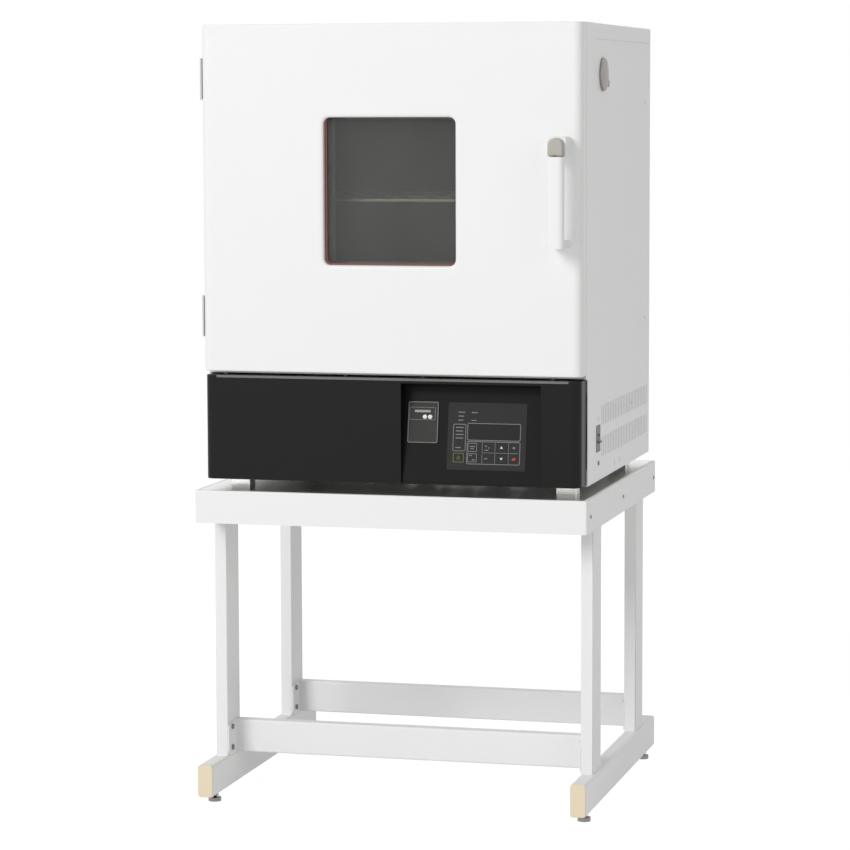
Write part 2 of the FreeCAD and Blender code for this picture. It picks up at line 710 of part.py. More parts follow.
# Mains breaker in the right side panel, its lever on a round barrel
breaker_front = half_width + 1.0
lever_x = half_width - 6.0
barrel = 7.0
lever_rest = -30.0
breaker = box(half_width - 63.0, breaker_front, breaker_y - nose_half + seam, breaker_y + nose_half - seam,
              breaker_z - nose_up + seam, breaker_z + nose_up - seam)
ears = box(inside - 8.0, inside, breaker_y - 12, breaker_y + 12, breaker_z - 52, breaker_z + 42)
breaker = fuse([breaker, ears])
well = rod("y", lever_x, breaker_z, barrel + 0.4, breaker_y - 10, breaker_y + 10)
mouth = box(lever_x, breaker_front + 1, breaker_y - 10, breaker_y + 10, breaker_z - 8.5, breaker_z + 8.5)
pieces["breaker_body"] = cut(breaker, [well, mouth] + breaker_holes)
lever_outline = [(0, -2.2), (13.5, -1.6), (13.5, 1.6), (0, 2.2)]
lever = prism("y", lever_outline, breaker_y - 9, breaker_y + 9, [0, 1, 1, 0])
lever.rotate(V(0, 0, 0), V(0, -1, 0), lever_rest)
lever.translate(V(lever_x, 0, breaker_z))
lever_barrel = rod("y", lever_x, breaker_z, barrel, breaker_y - 9.6, breaker_y + 9.6)
lever_pin = rod("y", lever_x, breaker_z, 1.5, breaker_y - 14, breaker_y + 14)
pieces["breaker_lever"] = fuse([lever, lever_barrel, lever_pin])
pin_bore = rod("y", lever_x, breaker_z, 1.5 + running, breaker_y - 14.3, breaker_y + 14.3)
pieces["breaker_body"] = pieces["breaker_body"].cut(pin_bore)

# Cable gland through the rear panel
gland_bore = 4.5
gland_flat = 22.0
hexagon = []
for i in range(6):
    angle = math.radians(60 * i)
    hexagon.append((gland_x + gland_flat / math.sqrt(3) * math.cos(angle),
                    gland_z + gland_flat / math.sqrt(3) * math.sin(angle)))
gland = fuse([
    prism("y", hexagon, rear, rear + 7),
    rod("y", gland_x, gland_z, 10.0, rear + 7, rear + 22),
    rod("y", gland_x, gland_z, gland_shank, rear - 12, rear),
])
nut = prism("y", hexagon, rear - skin - 6, rear - skin)
nut = nut.cut(rod("y", gland_x, gland_z, gland_shank, rear - 20, rear + 1))
gland_rear = rear + 22
gland = gland.cut(rod("y", gland_x, gland_z, gland_bore, rear - 13, gland_rear + 1))
pieces["cable_gland"] = group([gland, nut])

# Oven feet: bright blocks under the base pan
feet = []
foot_block_x = half_width - 45.0
for x in (-foot_block_x, foot_block_x):
    for y in (78.0, rear - 100.0):
        block = rounded("z", x - 19, x + 19, y, y + 32, 2.0, table_top, pan_bottom)
        feet.append(block.cut(rod("z", x, y + 16, 4.0, table_top - 1, table_top + 12)))
pieces["oven_feet"] = group(feet)

# Screws of the case
case_list = [screw("z", x, y, ledge, 1, 3.2, 1.6, reach=1.5) for x, y in ledge_screws]
for y, z in side_screws:
    case_list += both_sides([screw("x", y, z, half_width, 1, reach=skin)])
for y, z in breaker_screws:
    case_list.append(screw("x", y, z, half_width, 1))
case_list += [screw("y", x, z, rear, 1, reach=2 * skin) for x, z in rear_spots]
case_list += [screw("x", y, z, -half_width - leaf, -1, *leaf_head, reach=leaf + skin) for y, z in leaf_screws]
pieces["case_screws"] = group(case_list)

# Hinges: the lower half on the case carries the pin, the upper half lifts off with the door
lower_halves = []
upper_halves = []
door_leaf_screws = []
lift = 0.3
for low in hinge_bottoms:
    split = low + lower_half_tall
    top = low + hinge_tall
    barrel_low = rod("z", hinge_x, hinge_y, knuckle, low, split - lift)
    plate_low = box(-half_width - leaf, -half_width, case_front + 1, hinge_y + 31, low, split - lift)
    reach_low = box(hinge_x, -half_width - leaf / 2, hinge_y + 2, hinge_y + 6, low, split - lift)
    tongue = rod("z", hinge_x, hinge_y, pin_radius, split - lift, top - 6)
    half_low = fuse([barrel_low, plate_low, reach_low, tongue])
    lower_halves.append(half_low)
    barrel_top = rod("z", hinge_x, hinge_y, knuckle, split, top)
    plate_top = box(-half_width - leaf, -half_width, 8.0, hinge_y - leaf_clear, low + 2, top)
    web = box(-half_width - leaf, -half_width, hinge_y - leaf_clear - 1, hinge_y - 1, split, top)
    reach_top = box(hinge_x, -half_width - leaf / 2, hinge_y - 6, hinge_y - 2, split, top)
    half_top = fuse([barrel_top, plate_top, web, reach_top])
    half_top = half_top.cut(rod("z", hinge_x, hinge_y, pin_radius + running, split - 1, top - 5.7))
    upper_halves.append(half_top)
    door_leaf_screws += [(19.0, low + 14.0), (19.0, top - 14.0)]
half_holes = [hole("x", y, z, -half_width - leaf, -1, reach=4.0) for y, z in leaf_screws]
door_leaf_holes = [hole("x", y, z, -half_width - leaf, -1, reach=4.0) for y, z in door_leaf_screws]
pieces["hinge_lower_halves"] = group([h.cut(half_holes) for h in lower_halves])
pieces["hinge_upper_halves"] = group([h.cut(door_leaf_holes) for h in upper_halves])


# Door skin: a shallow pan with rounded upright edges, bent top and foot, and a pressed rim round the window
def door_block(inset, front, back):
    half = half_width - inset
    points = [(-half, back), (-half, front), (half, front), (half, back)]
    radius = door_corner - inset
    low = door_bottom + inset
    high = case_top - inset
    body = prism("z", points, low, high, [0, radius, radius, 0])
    bend = max(door_bend - inset, 0.0)
    side_view = [(front, low), (back, low), (back, high), (front, high)]
    return body.common(prism("x", side_view, -half, half, [bend, 0, 0, bend]))


def rim_block(wide, corner_extra, front, back, fillet):
    # the window's outline grown by the rim, open in the middle, its inner front edge rounded over
    grow = wide
    outer = rounded("y", -window_half - grow, window_half + grow, window_low - grow, window_high + grow,
                    window_corner + grow, front, back)
    less = corner_extra
    hollow = rounded("y", -window_half - less, window_half + less, window_low - less, window_high + less,
                     window_corner + less, front - 1, back + 1)
    body = outer.cut(hollow)
    edges = []
    for edge in body.Edges:
        box_of = edge.BoundBox
        flat = abs(box_of.YMax - front) < 1e-6 and abs(box_of.YMin - front) < 1e-6
        inner = max(abs(box_of.XMin), abs(box_of.XMax)) < window_half + less + 0.1
        within = box_of.ZMin > window_low - less - 0.1 and box_of.ZMax < window_high + less + 0.1
        if flat and inner and within:
            edges.append(edge)
    return body.makeFillet(fillet, edges)


rim = rim_block(rim_radius + 1.0, 0.0, 0.0, rim_depth, rim_radius)
rim_inside = rim_block(rim_radius + 2.0, skin, skin, rim_depth + 1.0, rim_radius - skin)
rim = rim.cut(rim_inside)
rim_wide = rim_radius + 1.0
opening = rounded("y", -window_half - rim_wide, window_half + rim_wide, window_low - rim_wide,
                  window_high + rim_wide, window_corner + rim_wide, -1, 3)
door = door_block(0, 0, door_thick).cut(door_block(skin, skin, door_thick + 1))
stem_hole = rod("y", stem_x, latch_level, stem_radius + seam, -1, skin + 1)
foot_bolt = (grip_left + 14.5, grip_low + 7.0)
housing_bolt_x = grip_left + 23.0
handle_spots = (foot_bolt, (housing_bolt_x, housing_low + 7.0), (housing_bolt_x, housing_high - 8.0))
handle_bolt = 2.0
bolt_holes = [rod("y", x, z, handle_bolt, -1, skin + 1) for x, z in handle_spots]
door = fuse([door.cut([opening, stem_hole] + bolt_holes), rim])
pieces["door_skin"] = cut(door, door_leaf_holes)

# Inner panel: a flat rim with a groove for the seal and a plug that enters the chamber
panel_front = door_thick - skin
panel_half = inside - seam
plug_back = door_thick + plug_depth
groove_out = (seal_middle + seal_width / 2, seal_low - seal_width / 2, seal_high + seal_width / 2)
groove_floor = 30.0


def frame_of(half, low, high, width, front, back, radius=4.0):
    return ring("y", -half, half, low, high, radius, width, front, back)


inner = fuse([
    box(-panel_half, panel_half, panel_front, door_thick, door_bottom + skin + seam, case_top - skin - seam),
    frame_of(groove_out[0] + skin, groove_out[1] - skin, groove_out[2] + skin, seal_width + 2 * skin,
             groove_floor - skin, door_thick, 6.0),
    rounded("y", -plug_half, plug_half, plug_low, plug_high, 6.0, panel_front, plug_back),
])
groove = frame_of(groove_out[0], groove_out[1], groove_out[2], seal_width, groove_floor, door_thick + 1, 5.0)
plug_hollow = rounded("y", -plug_half + skin, plug_half - skin, plug_low + skin, plug_high - skin, 4.8,
                      panel_front - 1, plug_back - skin)
sight = 6.3
inner_window = rounded("y", sight - window_half, window_half - sight, window_low + sight, window_high - sight,
                       8.0, plug_back - 3, plug_back + 1)
hook_slot = box(latch_x - 12.0, latch_x + catch_half, panel_front - 1, door_thick + 1,
                latch_level - 10.0, latch_level + 10.0)
pieces["door_inner_panel"] = cut(inner, [groove, plug_hollow, inner_window, hook_slot])

# Seal in the groove, its lip just short of the frame
seal_base = frame_of(groove_out[0] - 0.2, groove_out[1] + 0.2, groove_out[2] - 0.2, seal_width - 0.4,
                     groove_floor, door_thick - 1, 4.8)
seal_lip = frame_of(groove_out[0] - 2.0, groove_out[1] + 2.0, groove_out[2] - 2.0, seal_width - 4.0,
                    door_thick - 1, case_front - 0.3, 3.0)
pieces["door_gasket"] = fuse([seal_base, seal_lip])

# Window: gasket, outer pane, spacer frame, inner pane
gasket_back = rim_depth + 4.0
outer_back = gasket_back + pane
inner_front = plug_back - skin - pane
gasket = rounded("y", 3.0 - pane_half, pane_half - 3.0, pane_low + 3.0, pane_high - 3.0, 8.0,
                 rim_depth, gasket_back)
gasket_mouth = rounded("y", 5.7 - window_half, window_half + 1.3, window_low + 5.3, window_high + 2.3, 8.0,
                       rim_depth - 1, gasket_back + 1)
pieces["window_gasket"] = gasket.cut(gasket_mouth)
outer_pane = rounded("y", -pane_half, pane_half, pane_low, pane_high, 6.0, gasket_back, outer_back)
inner_pane = rounded("y", -pane_half + 8, pane_half - 8, pane_low + 8, pane_high - 8, 6.0, inner_front,
                     inner_front + pane)
pieces["window_panes"] = group([outer_pane, inner_pane])
spacer = ring("y", -pane_half, pane_half, pane_low, pane_high, 6.0, 14.0, outer_back, inner_front)
spacer_hollow = ring("y", -pane_half - 5, pane_half + 5, pane_low - 5, pane_high + 5, 6.0, 5.0 + 12.8,
                     outer_back + skin, inner_front - skin)
pieces["window_frame"] = spacer.cut(spacer_hollow)

# Door insulation with pockets for the window and the latch
fill_gap = 0.4
fill = fuse([
    door_block(skin + fill_gap, skin + fill_gap, groove_floor - skin - fill_gap),
    rounded("y", -plug_half + skin + fill_gap, plug_half - skin - fill_gap, plug_low + skin + fill_gap,
            plug_high - skin - fill_gap, 4.4, groove_floor - 5, plug_back - skin - fill_gap),
])
window_room = rounded("y", -pane_half - fill_gap, pane_half + fill_gap, pane_low - fill_gap,
                      pane_high + fill_gap, 6.0, 0, 70)
rim_room = rounded("y", -window_half - 12, window_half + 12, window_low - 12, window_high + 12, 20.0, 0, 15)
latch_room = box(grip_left - 7.0, inside, 0, 40, latch_level - 22.0, latch_level + 24.0)
bolt_room = rod("y", foot_bolt[0], foot_bolt[1], 8.0, 0, 40)
leaf_room = box(-half_width, 8.0 - inside, 10.0, 28.0, hinge_bottoms[0] - 12.0, hinge_bottoms[1] + 94.0)
pieces["door_insulation"] = cut(fill, [window_room, rim_room, latch_room, bolt_room, leaf_room])

# Handle: a rounded grip between a plain foot and a housing for the thumb button
grip_rear = handle_front + grip_deep
grip = prism("z", [(grip_left, handle_front), (grip_right, handle_front), (grip_right, grip_rear),
                   (grip_left, grip_rear)], grip_low, grip_high, [9.0, 9.0, 6.0, 6.0])
foot = rounded("z", grip_left, grip_right, grip_rear - 10.0, 0, 2.0, grip_low, grip_low + 14.0)
housing_left = grip_left - 2.5
housing_right = grip_right + 2.5
housing = prism("y", [(housing_left, housing_low), (housing_right, housing_low),
                      (housing_right, housing_high), (housing_left, housing_high)],
                housing_front, 0, [3, 3, 6, 6])
room_left = housing_left + 2.7
room_right = housing_right - 2.7
room_low = housing_low + 1.7
room_high = housing_high - 2.7
button_room = prism("y", [(room_left, room_low), (room_right, room_low), (room_right, room_high),
                          (room_left, room_high)], housing_front - 1, thumb_back + travel + 0.5, [2, 2, 5, 5])
stem_room = rod("y", stem_x, latch_level, stem_radius + seam, thumb_back + travel, 1)
thread_holes = [rod("y", x, z, handle_bolt, -12.0, 1) for x, z in handle_spots]
pieces["handle"] = cut(fuse([grip, foot, housing]), [button_room, stem_room] + thread_holes)

# Thumb button and its stem through the door skin
arm_half = 3.5
stem_tip = latch_y - arm_half - 0.5
thumb_left = room_left + seam
thumb_right = room_right - seam
thumb_low = room_low + seam
thumb_high = room_high - seam
thumb = prism("y", [(thumb_left, thumb_low), (thumb_right, thumb_low), (thumb_right, thumb_high),
                    (thumb_left, thumb_high)], button_front, thumb_back, [2, 2, 5, 5])
top_edges = []
for edge in thumb.Edges:
    if edge.BoundBox.YMax < button_front + 1e-6:
        top_edges.append(edge)
thumb = thumb.makeFillet(1.8, top_edges)
scoop = rod("x", button_front - 9.0, room_low + 3.3, 12.0, thumb_left - 3, thumb_right + 3)
stem = rod("y", stem_x, latch_level, stem_radius, thumb_back - 0.5, stem_tip - stem_radius)
dome = Part.makeSphere(stem_radius, V(stem_x, stem_tip - stem_radius, latch_level))
pieces["thumb_button"] = fuse([thumb.cut(scoop), stem, dome])

# Latch lever on its pin: a short arm the stem pushes and a long arm with the hook
lever_low = latch_level - 4.0
lever_high = latch_level + 4.0
arm_end = stem_x - stem_radius
hook_end = case_front + 18.0
hook = prism("z", [(arm_end, latch_y - arm_half), (latch_x + 3, latch_y - arm_half), (latch_x + 3, hook_end),
                   (latch_x - 11, hook_end), (latch_x - 11, hook_end - 5), (latch_x - 4, hook_end - 7),
                   (latch_x - 4, latch_y + arm_half), (arm_end, latch_y + arm_half)],
             lever_low, lever_high, [2, 3, 2, 2, 0, 2, 3, 2])
hub = rod("z", latch_x, latch_y, 6.0, lever_low, lever_high)
hook = fuse([hook, hub]).cut(rod("z", latch_x, latch_y, pin_radius + running, lever_low - 1, lever_high + 1))
pieces["latch_lever"] = hook
bracket_sheet = 1.5
cheek_gap = 0.3
bracket_parts = [box(housing_bolt_x - 5.5, latch_x + 5, skin, skin + bracket_sheet,
                     lever_low - 12.0, lever_high + 12.0)]
for low in (lever_low - cheek_gap - bracket_sheet, lever_high + cheek_gap):
    bracket_parts.append(prism("z", [(latch_x - 9, skin), (latch_x + 5, skin), (latch_x + 7, latch_y + 8),
                                     (latch_x - 9, latch_y + 8)], low, low + bracket_sheet, [0, 0, 6, 6]))
bracket_parts.append(rod("z", latch_x, latch_y, pin_radius, lever_low - cheek_gap - bracket_sheet,
                         lever_high + cheek_gap + bracket_sheet))
bracket_holes = [rod("y", x, z, handle_bolt, 0, skin + bracket_sheet + 1) for x, z in handle_spots]
pieces["latch_bracket"] = fuse(bracket_parts).cut(bracket_holes)

# Screws of the door
door_list = []
for x, z in handle_spots:
    seat_at = skin if (x, z) == foot_bolt else skin + bracket_sheet
    door_list.append(screw("y", x, z, seat_at, 1, 3.6, 3.0, handle_bolt, reach=seat_at + 11.0))
for y, z in door_leaf_screws:
    door_list.append(screw("x", y, z, -half_width - leaf, -1, *leaf_head, reach=leaf + skin))
pieces["door_screws"] = group(door_list)

# Stand: apron with its turned-in top edge, and the mirror sheet lying inside it
lip = 6.5
apron_corner = 1.2
apron_out = rounded("z", -stand_half, stand_half, stand_front, stand_rear, apron_corner + apron_wall,
                    apron_bottom, table_top)
crown_edges = []
for edge in apron_out.Edges:
    if edge.BoundBox.ZMin > table_top - 1e-6:
        crown_edges.append(edge)
apron_out = apron_out.makeFillet(2.5, crown_edges)
apron_in = rounded("z", -stand_half + apron_wall, stand_half - apron_wall, stand_front + apron_wall,
                   stand_rear - apron_wall, apron_corner, apron_bottom - 1, table_top - apron_wall)
sheet_room = box(-stand_half + lip, stand_half - lip, stand_front + lip, stand_rear - lip,
                 apron_bottom - 1, table_top + 1)
apron_holes = []
for y in apron_screws:
    apron_holes += both_sides([hole("x", y, apron_screw_z, stand_half, 1)])
pieces["stand_apron"] = cut(apron_out, [apron_in, sheet_room] + apron_holes)
pieces["stand_top"] = box(-stand_half + lip + seam, stand_half - lip - seam, stand_front + lip + seam,
                          stand_rear - lip - seam, table_top - table_sheet, table_top)

# Top frame under the sheet: two long tubes and three cross tubes
frame_half = stand_half - apron_wall
frame_front = stand_front + apron_wall + apron_corner
frame_back = stand_rear - apron_wall - apron_corner
tube_high = table_top - table_sheet
tube_low = tube_high - 40.0
tube_wall = 2.0
long_tube = ring("y", leg_inner, frame_half, tube_low, tube_high, 2.0, tube_wall, frame_front, frame_back)
cross_tube_ys = (frame_front + 15.0, apron_screws[1], frame_back - 15.0)
cross_tubes = []
for y in cross_tube_ys:
    cross_tubes.append(ring("x", y - 15.0, y + 15.0, tube_low, tube_high, 2.0, tube_wall,
                            -leg_inner, leg_inner))
frame_holes = [both_sides([hole("x", y, apron_screw_z, stand_half, 1, reach=4.0)]) for y in apron_screws]
frame_tools = [tool for pair in frame_holes for tool in pair]
tube_middle = (tube_low + tube_high) / 2
vent_radius = 5.0
for y in cross_tube_ys:
    # a vent through the long tube's wall into each cross tube's end
    vent = rod("x", y, tube_middle, vent_radius, leg_inner - 1, leg_inner + tube_wall + 1)
    frame_tools += both_sides([vent])
pieces["stand_frame"] = cut(fuse(both_sides([long_tube]) + cross_tubes), frame_tools)

# Stand sides: a base rail with two legs standing on it
rail_front = stand_front
rail_back = stand_rear
rail = ring("y", leg_inner, rail_outer, rail_low, rail_high, 5.0, tube_wall, rail_front, rail_back)
legs = []
for y in leg_fronts:
    legs.append(ring("z", leg_inner, leg_outer, y, y + leg_deep, 2.0, tube_wall, rail_high, tube_low))
foot_bore = [rod("z", foot_x, y, 4.0, rail_low - 1, rail_low + 3) for y in foot_ys]
tab_thick = 2.0
tab_screw_ys = [y - 27.0 for y in cross_ys]
tab_holes = [hole("x", y, z, leg_inner - tab_thick, -1, reach=4.5) for y in tab_screw_ys for z in leg_screws]
side = cut(fuse([rail] + legs), foot_bore + tab_holes)
pieces["stand_side_right"] = side
pieces["stand_side_left"] = mirrored(side)


# Cross rails: a web folded back along its top, a tab turned forward at each end
def cross_rail(y):
    web = folded("x", [(y + 22.0, cross_high), (y, cross_high), (y, rail_high), (y + 12.0, rail_high)],
                 tab_thick, 1.5, -leg_inner, leg_inner)
    tab_outline = [(y + tab_thick, rail_high), (y + tab_thick, cross_high), (y - 47.0, cross_high),
                   (y - 47.0, rail_high)]
    tab = prism("x", tab_outline, leg_inner - tab_thick, leg_inner, [0, 0, 14, 14])
    rail_holes = []
    for z in leg_screws:
        rail_holes += both_sides([hole("x", y - 27.0, z, leg_inner - tab_thick, -1, reach=2.5)])
    return cut(fuse([web] + both_sides([tab])), rail_holes)


pieces["cross_rails"] = group([cross_rail(y) for y in cross_ys])

# Rail end caps: a flange over the rail's end and a plug inside it
caps = []
for y, way in ((rail_front, -1), (rail_back, 1)):
    flange = sorted((y, y + way * cap_flange))
    plug = sorted((y, y - way * 12.0))
    face = rounded("y", leg_inner, rail_outer, rail_low, rail_high, 5.0, flange[0], flange[1])
    rims = [e for e in face.Edges if abs(e.BoundBox.YMin - (y + way * cap_flange)) < 1e-6
            and abs(e.BoundBox.YMax - (y + way * cap_flange)) < 1e-6]
    face = face.makeFillet(2.0, rims)
    stub = ring("y", leg_inner + tube_wall, rail_outer - tube_wall, rail_low + tube_wall,
                rail_high - tube_wall, 3.0, 2.0, plug[0], plug[1])
    caps += both_sides([fuse([face, stub])])
pieces["rail_end_caps"] = group(caps)

# Levelling feet with their lock nuts
foot_list = []
nut_flat = 13.0
for y in foot_ys:
    pad = fuse([rod("z", foot_x, y, 12.0, 0, 7.0), rod("z", foot_x, y, 4.0, 7.0, rail_low + 25.0)])
    corners = []
    for i in range(6):
        angle = math.radians(60 * i)
        corners.append((foot_x + nut_flat / math.sqrt(3) * math.cos(angle),
                        y + nut_flat / math.sqrt(3) * math.sin(angle)))
    nut = prism("z", corners, rail_low - 6.5, rail_low).cut(rod("z", foot_x, y, 4.0, 5, 20))
    foot_list += both_sides([pad, nut])
pieces["levelling_feet"] = group(foot_list)

# Screws of the stand
stand_list = []
for y in apron_screws:
    stand_list += both_sides([screw("x", y, apron_screw_z, stand_half, 1, 3.5, 1.5, reach=3.8)])
for y in tab_screw_ys:
    for z in leg_screws:
        stand_list += both_sides([screw("x", y, z, leg_inner - tab_thick, -1, 5.0, 3.0, reach=4.0)])
pieces["stand_screws"] = group(stand_list)

# The origin lies under the middle of the whole, on the floor
rearmost = max(gland_rear, rail_back + cap_flange)
middle_y = (handle_front + rearmost) / 2
for name, shape in pieces.items():
    if shape.isNull() or not shape.isValid():
        raise ValueError("broken shape: " + name)
    placed = shape.copy()
    placed.translate(V(0, -middle_y, 0))
    placed.exportStep("parts/" + name + ".step")
print(len(pieces), "pieces, shifted by", -middle_y)
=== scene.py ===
import bpy
import bmesh
import json
import math
from mathutils import Matrix, Vector


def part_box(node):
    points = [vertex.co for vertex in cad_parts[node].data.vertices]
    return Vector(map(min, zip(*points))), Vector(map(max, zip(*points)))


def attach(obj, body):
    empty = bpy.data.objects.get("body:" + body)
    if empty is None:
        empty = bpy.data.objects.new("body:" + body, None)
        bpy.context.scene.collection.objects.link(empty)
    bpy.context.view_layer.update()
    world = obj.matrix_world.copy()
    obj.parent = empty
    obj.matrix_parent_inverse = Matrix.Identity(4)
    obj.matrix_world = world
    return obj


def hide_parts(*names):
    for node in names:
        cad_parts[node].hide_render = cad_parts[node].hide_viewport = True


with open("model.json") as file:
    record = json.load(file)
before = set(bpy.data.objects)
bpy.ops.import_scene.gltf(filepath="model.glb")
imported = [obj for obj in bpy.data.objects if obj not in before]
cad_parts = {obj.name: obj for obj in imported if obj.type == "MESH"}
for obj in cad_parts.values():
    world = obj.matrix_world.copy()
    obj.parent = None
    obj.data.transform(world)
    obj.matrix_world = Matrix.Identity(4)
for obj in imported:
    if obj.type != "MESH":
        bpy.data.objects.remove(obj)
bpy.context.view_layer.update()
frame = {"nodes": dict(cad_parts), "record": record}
nodes = frame["nodes"]
mm = 0.001
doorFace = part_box("fascia_shell")[0].y - 1.0 * mm  # the frame's Y there

# camera
camera = {
    "place": (1.5074, -5.8225, 1.3009),
    "turn": 14.6433,   # degrees to the left of straight back
    "tilt": 5.813,     # degrees down
    "roll": 0.1778,
    "lens": 134.32,
    "sensor": 36.0,
}


def addCamera():
    data = bpy.data.cameras.new("camera")
    data.lens = camera["lens"]
    data.sensor_width = camera["sensor"]
    data.clip_end = 50.0
    eye = bpy.data.objects.new("camera", data)
    bpy.context.scene.collection.objects.link(eye)
    eye.location = camera["place"]
    turn = Matrix.Rotation(math.radians(camera["turn"]), 4, "Z")
    tilt = Matrix.Rotation(math.radians(90 - camera["tilt"]), 4, "X")
    roll = Matrix.Rotation(math.radians(-camera["roll"]), 4, "Z")
    eye.rotation_euler = (turn @ tilt @ roll).to_euler()
    bpy.context.scene.camera = eye
    print("camera in place")


addCamera()


# shader maths
class Wire:
    # one socket of a node tree; sums and products written on it become Math nodes
    def __init__(self, tree, socket=None):
        self.tree = tree
        self.socket = socket

    def node(self, kind, settings=None, values=None, out=0):
        made = self.tree.nodes.new(kind)
        for name, value in (settings or {}).items():
            if name == "stops":
                ramp = made.color_ramp
                while len(ramp.elements) < len(value):
                    ramp.elements.new(0.5)
                for stop, (place, shade) in zip(ramp.elements, value):
                    stop.position = place
                    stop.color = (*shade, 1.0)
            else:
                setattr(made, name, value)
        for name, value in (values or {}).items():
            target = made.inputs[name]
            if isinstance(value, Wire):
                self.tree.links.new(value.socket, target)
            elif target.type == "RGBA" and len(value) == 3:
                target.default_value = (*value, 1.0)
            else:
                target.default_value = value
        return Wire(self.tree, made.outputs[out] if made.outputs else None)

    def math(self, operation, first, second=0.0):
        return self.node("ShaderNodeMath", {"operation": operation}, {0: first, 1: second})

    def __add__(self, other):
        return self.math("ADD", self, other)

    def __radd__(self, other):
        return self.math("ADD", other, self)

    def __sub__(self, other):
        return self.math("SUBTRACT", self, other)

    def __rsub__(self, other):
        return self.math("SUBTRACT", other, self)

    def __mul__(self, other):
        return self.math("MULTIPLY", self, other)

    def __rmul__(self, other):
        return self.math("MULTIPLY", other, self)

    def blend(self, low, high):
        # a colour between two, by this value
        return self.node("ShaderNodeMix", {"data_type": "RGBA"}, {0: self, 6: low, 7: high}, out=2)


def startMaterial(name):
    material = bpy.data.materials.new(name)
    material.use_nodes = True
    tree = material.node_tree
    tree.nodes.clear()
    return material, Wire(tree)


def noise(w, scale, detail=2.0, stretch=(1, 1, 1)):
    # in object coordinates, drawn out along an axis where its stretch is small
    place = w.node("ShaderNodeTexCoord", out=3)
    place = w.node("ShaderNodeMapping", {}, {"Vector": place, "Scale": stretch})
    return w.node("ShaderNodeTexNoise", {}, {"Vector": place, "Scale": scale, "Detail": detail})


def closeMaterial(w, surface):
    w.node("ShaderNodeOutputMaterial", {}, {"Surface": surface})


def finishShader(w, fixed, varied, bump=None, bumpStrength=0.1, bumpHeight=0.0002):
    values = dict(fixed)
    values.update(varied)
    if bump is not None:
        values["Normal"] = w.node("ShaderNodeBump", {}, {"Height": bump, "Strength": bumpStrength,
                                                         "Distance": bumpHeight})
    closeMaterial(w, w.node("ShaderNodeBsdfPrincipled", {}, values))


def powderCoat(name, light, dark, roughness, grain=900.0, strength=0.12, shine=0.5):
    # sprayed and baked paint: a fine orange peel and faint clouds in the shade
    material, w = startMaterial(name)
    cloud = noise(w, 3.0, 3.0)
    peel = noise(w, grain, 2.0)
    varied = {"Base Color": cloud.blend(dark, light), "Roughness": roughness + (peel - 0.5) * 0.12}
    finishShader(w, {"Specular IOR Level": shine}, varied, peel, strength)
    return material


def sheetSteel(name, light, dark, roughness, along, streak=260.0, strength=0.06):
    # rolled or brushed sheet: fine lines along one axis, a little uneven in gloss
    material, w = startMaterial(name)
    stretch = [1.0, 1.0, 1.0]
    stretch["xyz".index(along)] = 0.02
    lines = noise(w, streak, 3.0, stretch)
    cloud = noise(w, 5.0, 2.0)
    varied = {"Base Color": (lines * 0.6 + cloud * 0.4).blend(dark, light),
              "Roughness": roughness + (lines - 0.5) * 0.16}
    finishShader(w, {"Metallic": 1.0}, varied, lines, strength)
    return material


def moulded(name, light, dark, roughness, grain=1400.0, strength=0.06, shine=0.5):
    # moulded plastic or rubber: a very fine grain and a slight mottle
    material, w = startMaterial(name)
    mottle = noise(w, 40.0, 3.0)
    fine = noise(w, grain, 2.0)
    varied = {"Base Color": mottle.blend(dark, light), "Roughness": roughness + (fine - 0.5) * 0.1}
    finishShader(w, {"Specular IOR Level": shine}, varied, fine, strength)
    return material


def woolBlock(name):
    # matted mineral fibres
    material, w = startMaterial(name)
    fibres = noise(w, 180.0, 6.0, (1, 1, 4))
    finishShader(w, {"Roughness": 0.95}, {"Base Color": fibres.blend((0.36, 0.29, 0.15), (0.62, 0.55, 0.36))},
                 fibres, 0.7, 0.002)
    return material


def windowGlass(name):
    # smoked tempered pane: little shows of the unlit chamber behind, with a faint smear in its gloss
    material, w = startMaterial(name)
    smear = noise(w, 9.0, 3.0, (1, 1, 0.4))
    clear = w.node("ShaderNodeBsdfTransparent", {}, {"Color": (0.8, 0.805, 0.79)})
    gloss = w.node("ShaderNodeBsdfPrincipled", {}, {"Base Color": (0.5, 0.505, 0.5),
                                                    "Roughness": 0.03 + smear * 0.04})
    closeMaterial(w, w.node("ShaderNodeMixShader", {}, {0: 0.062 + smear * 0.04, 1: clear, 2: gloss}))
    return material


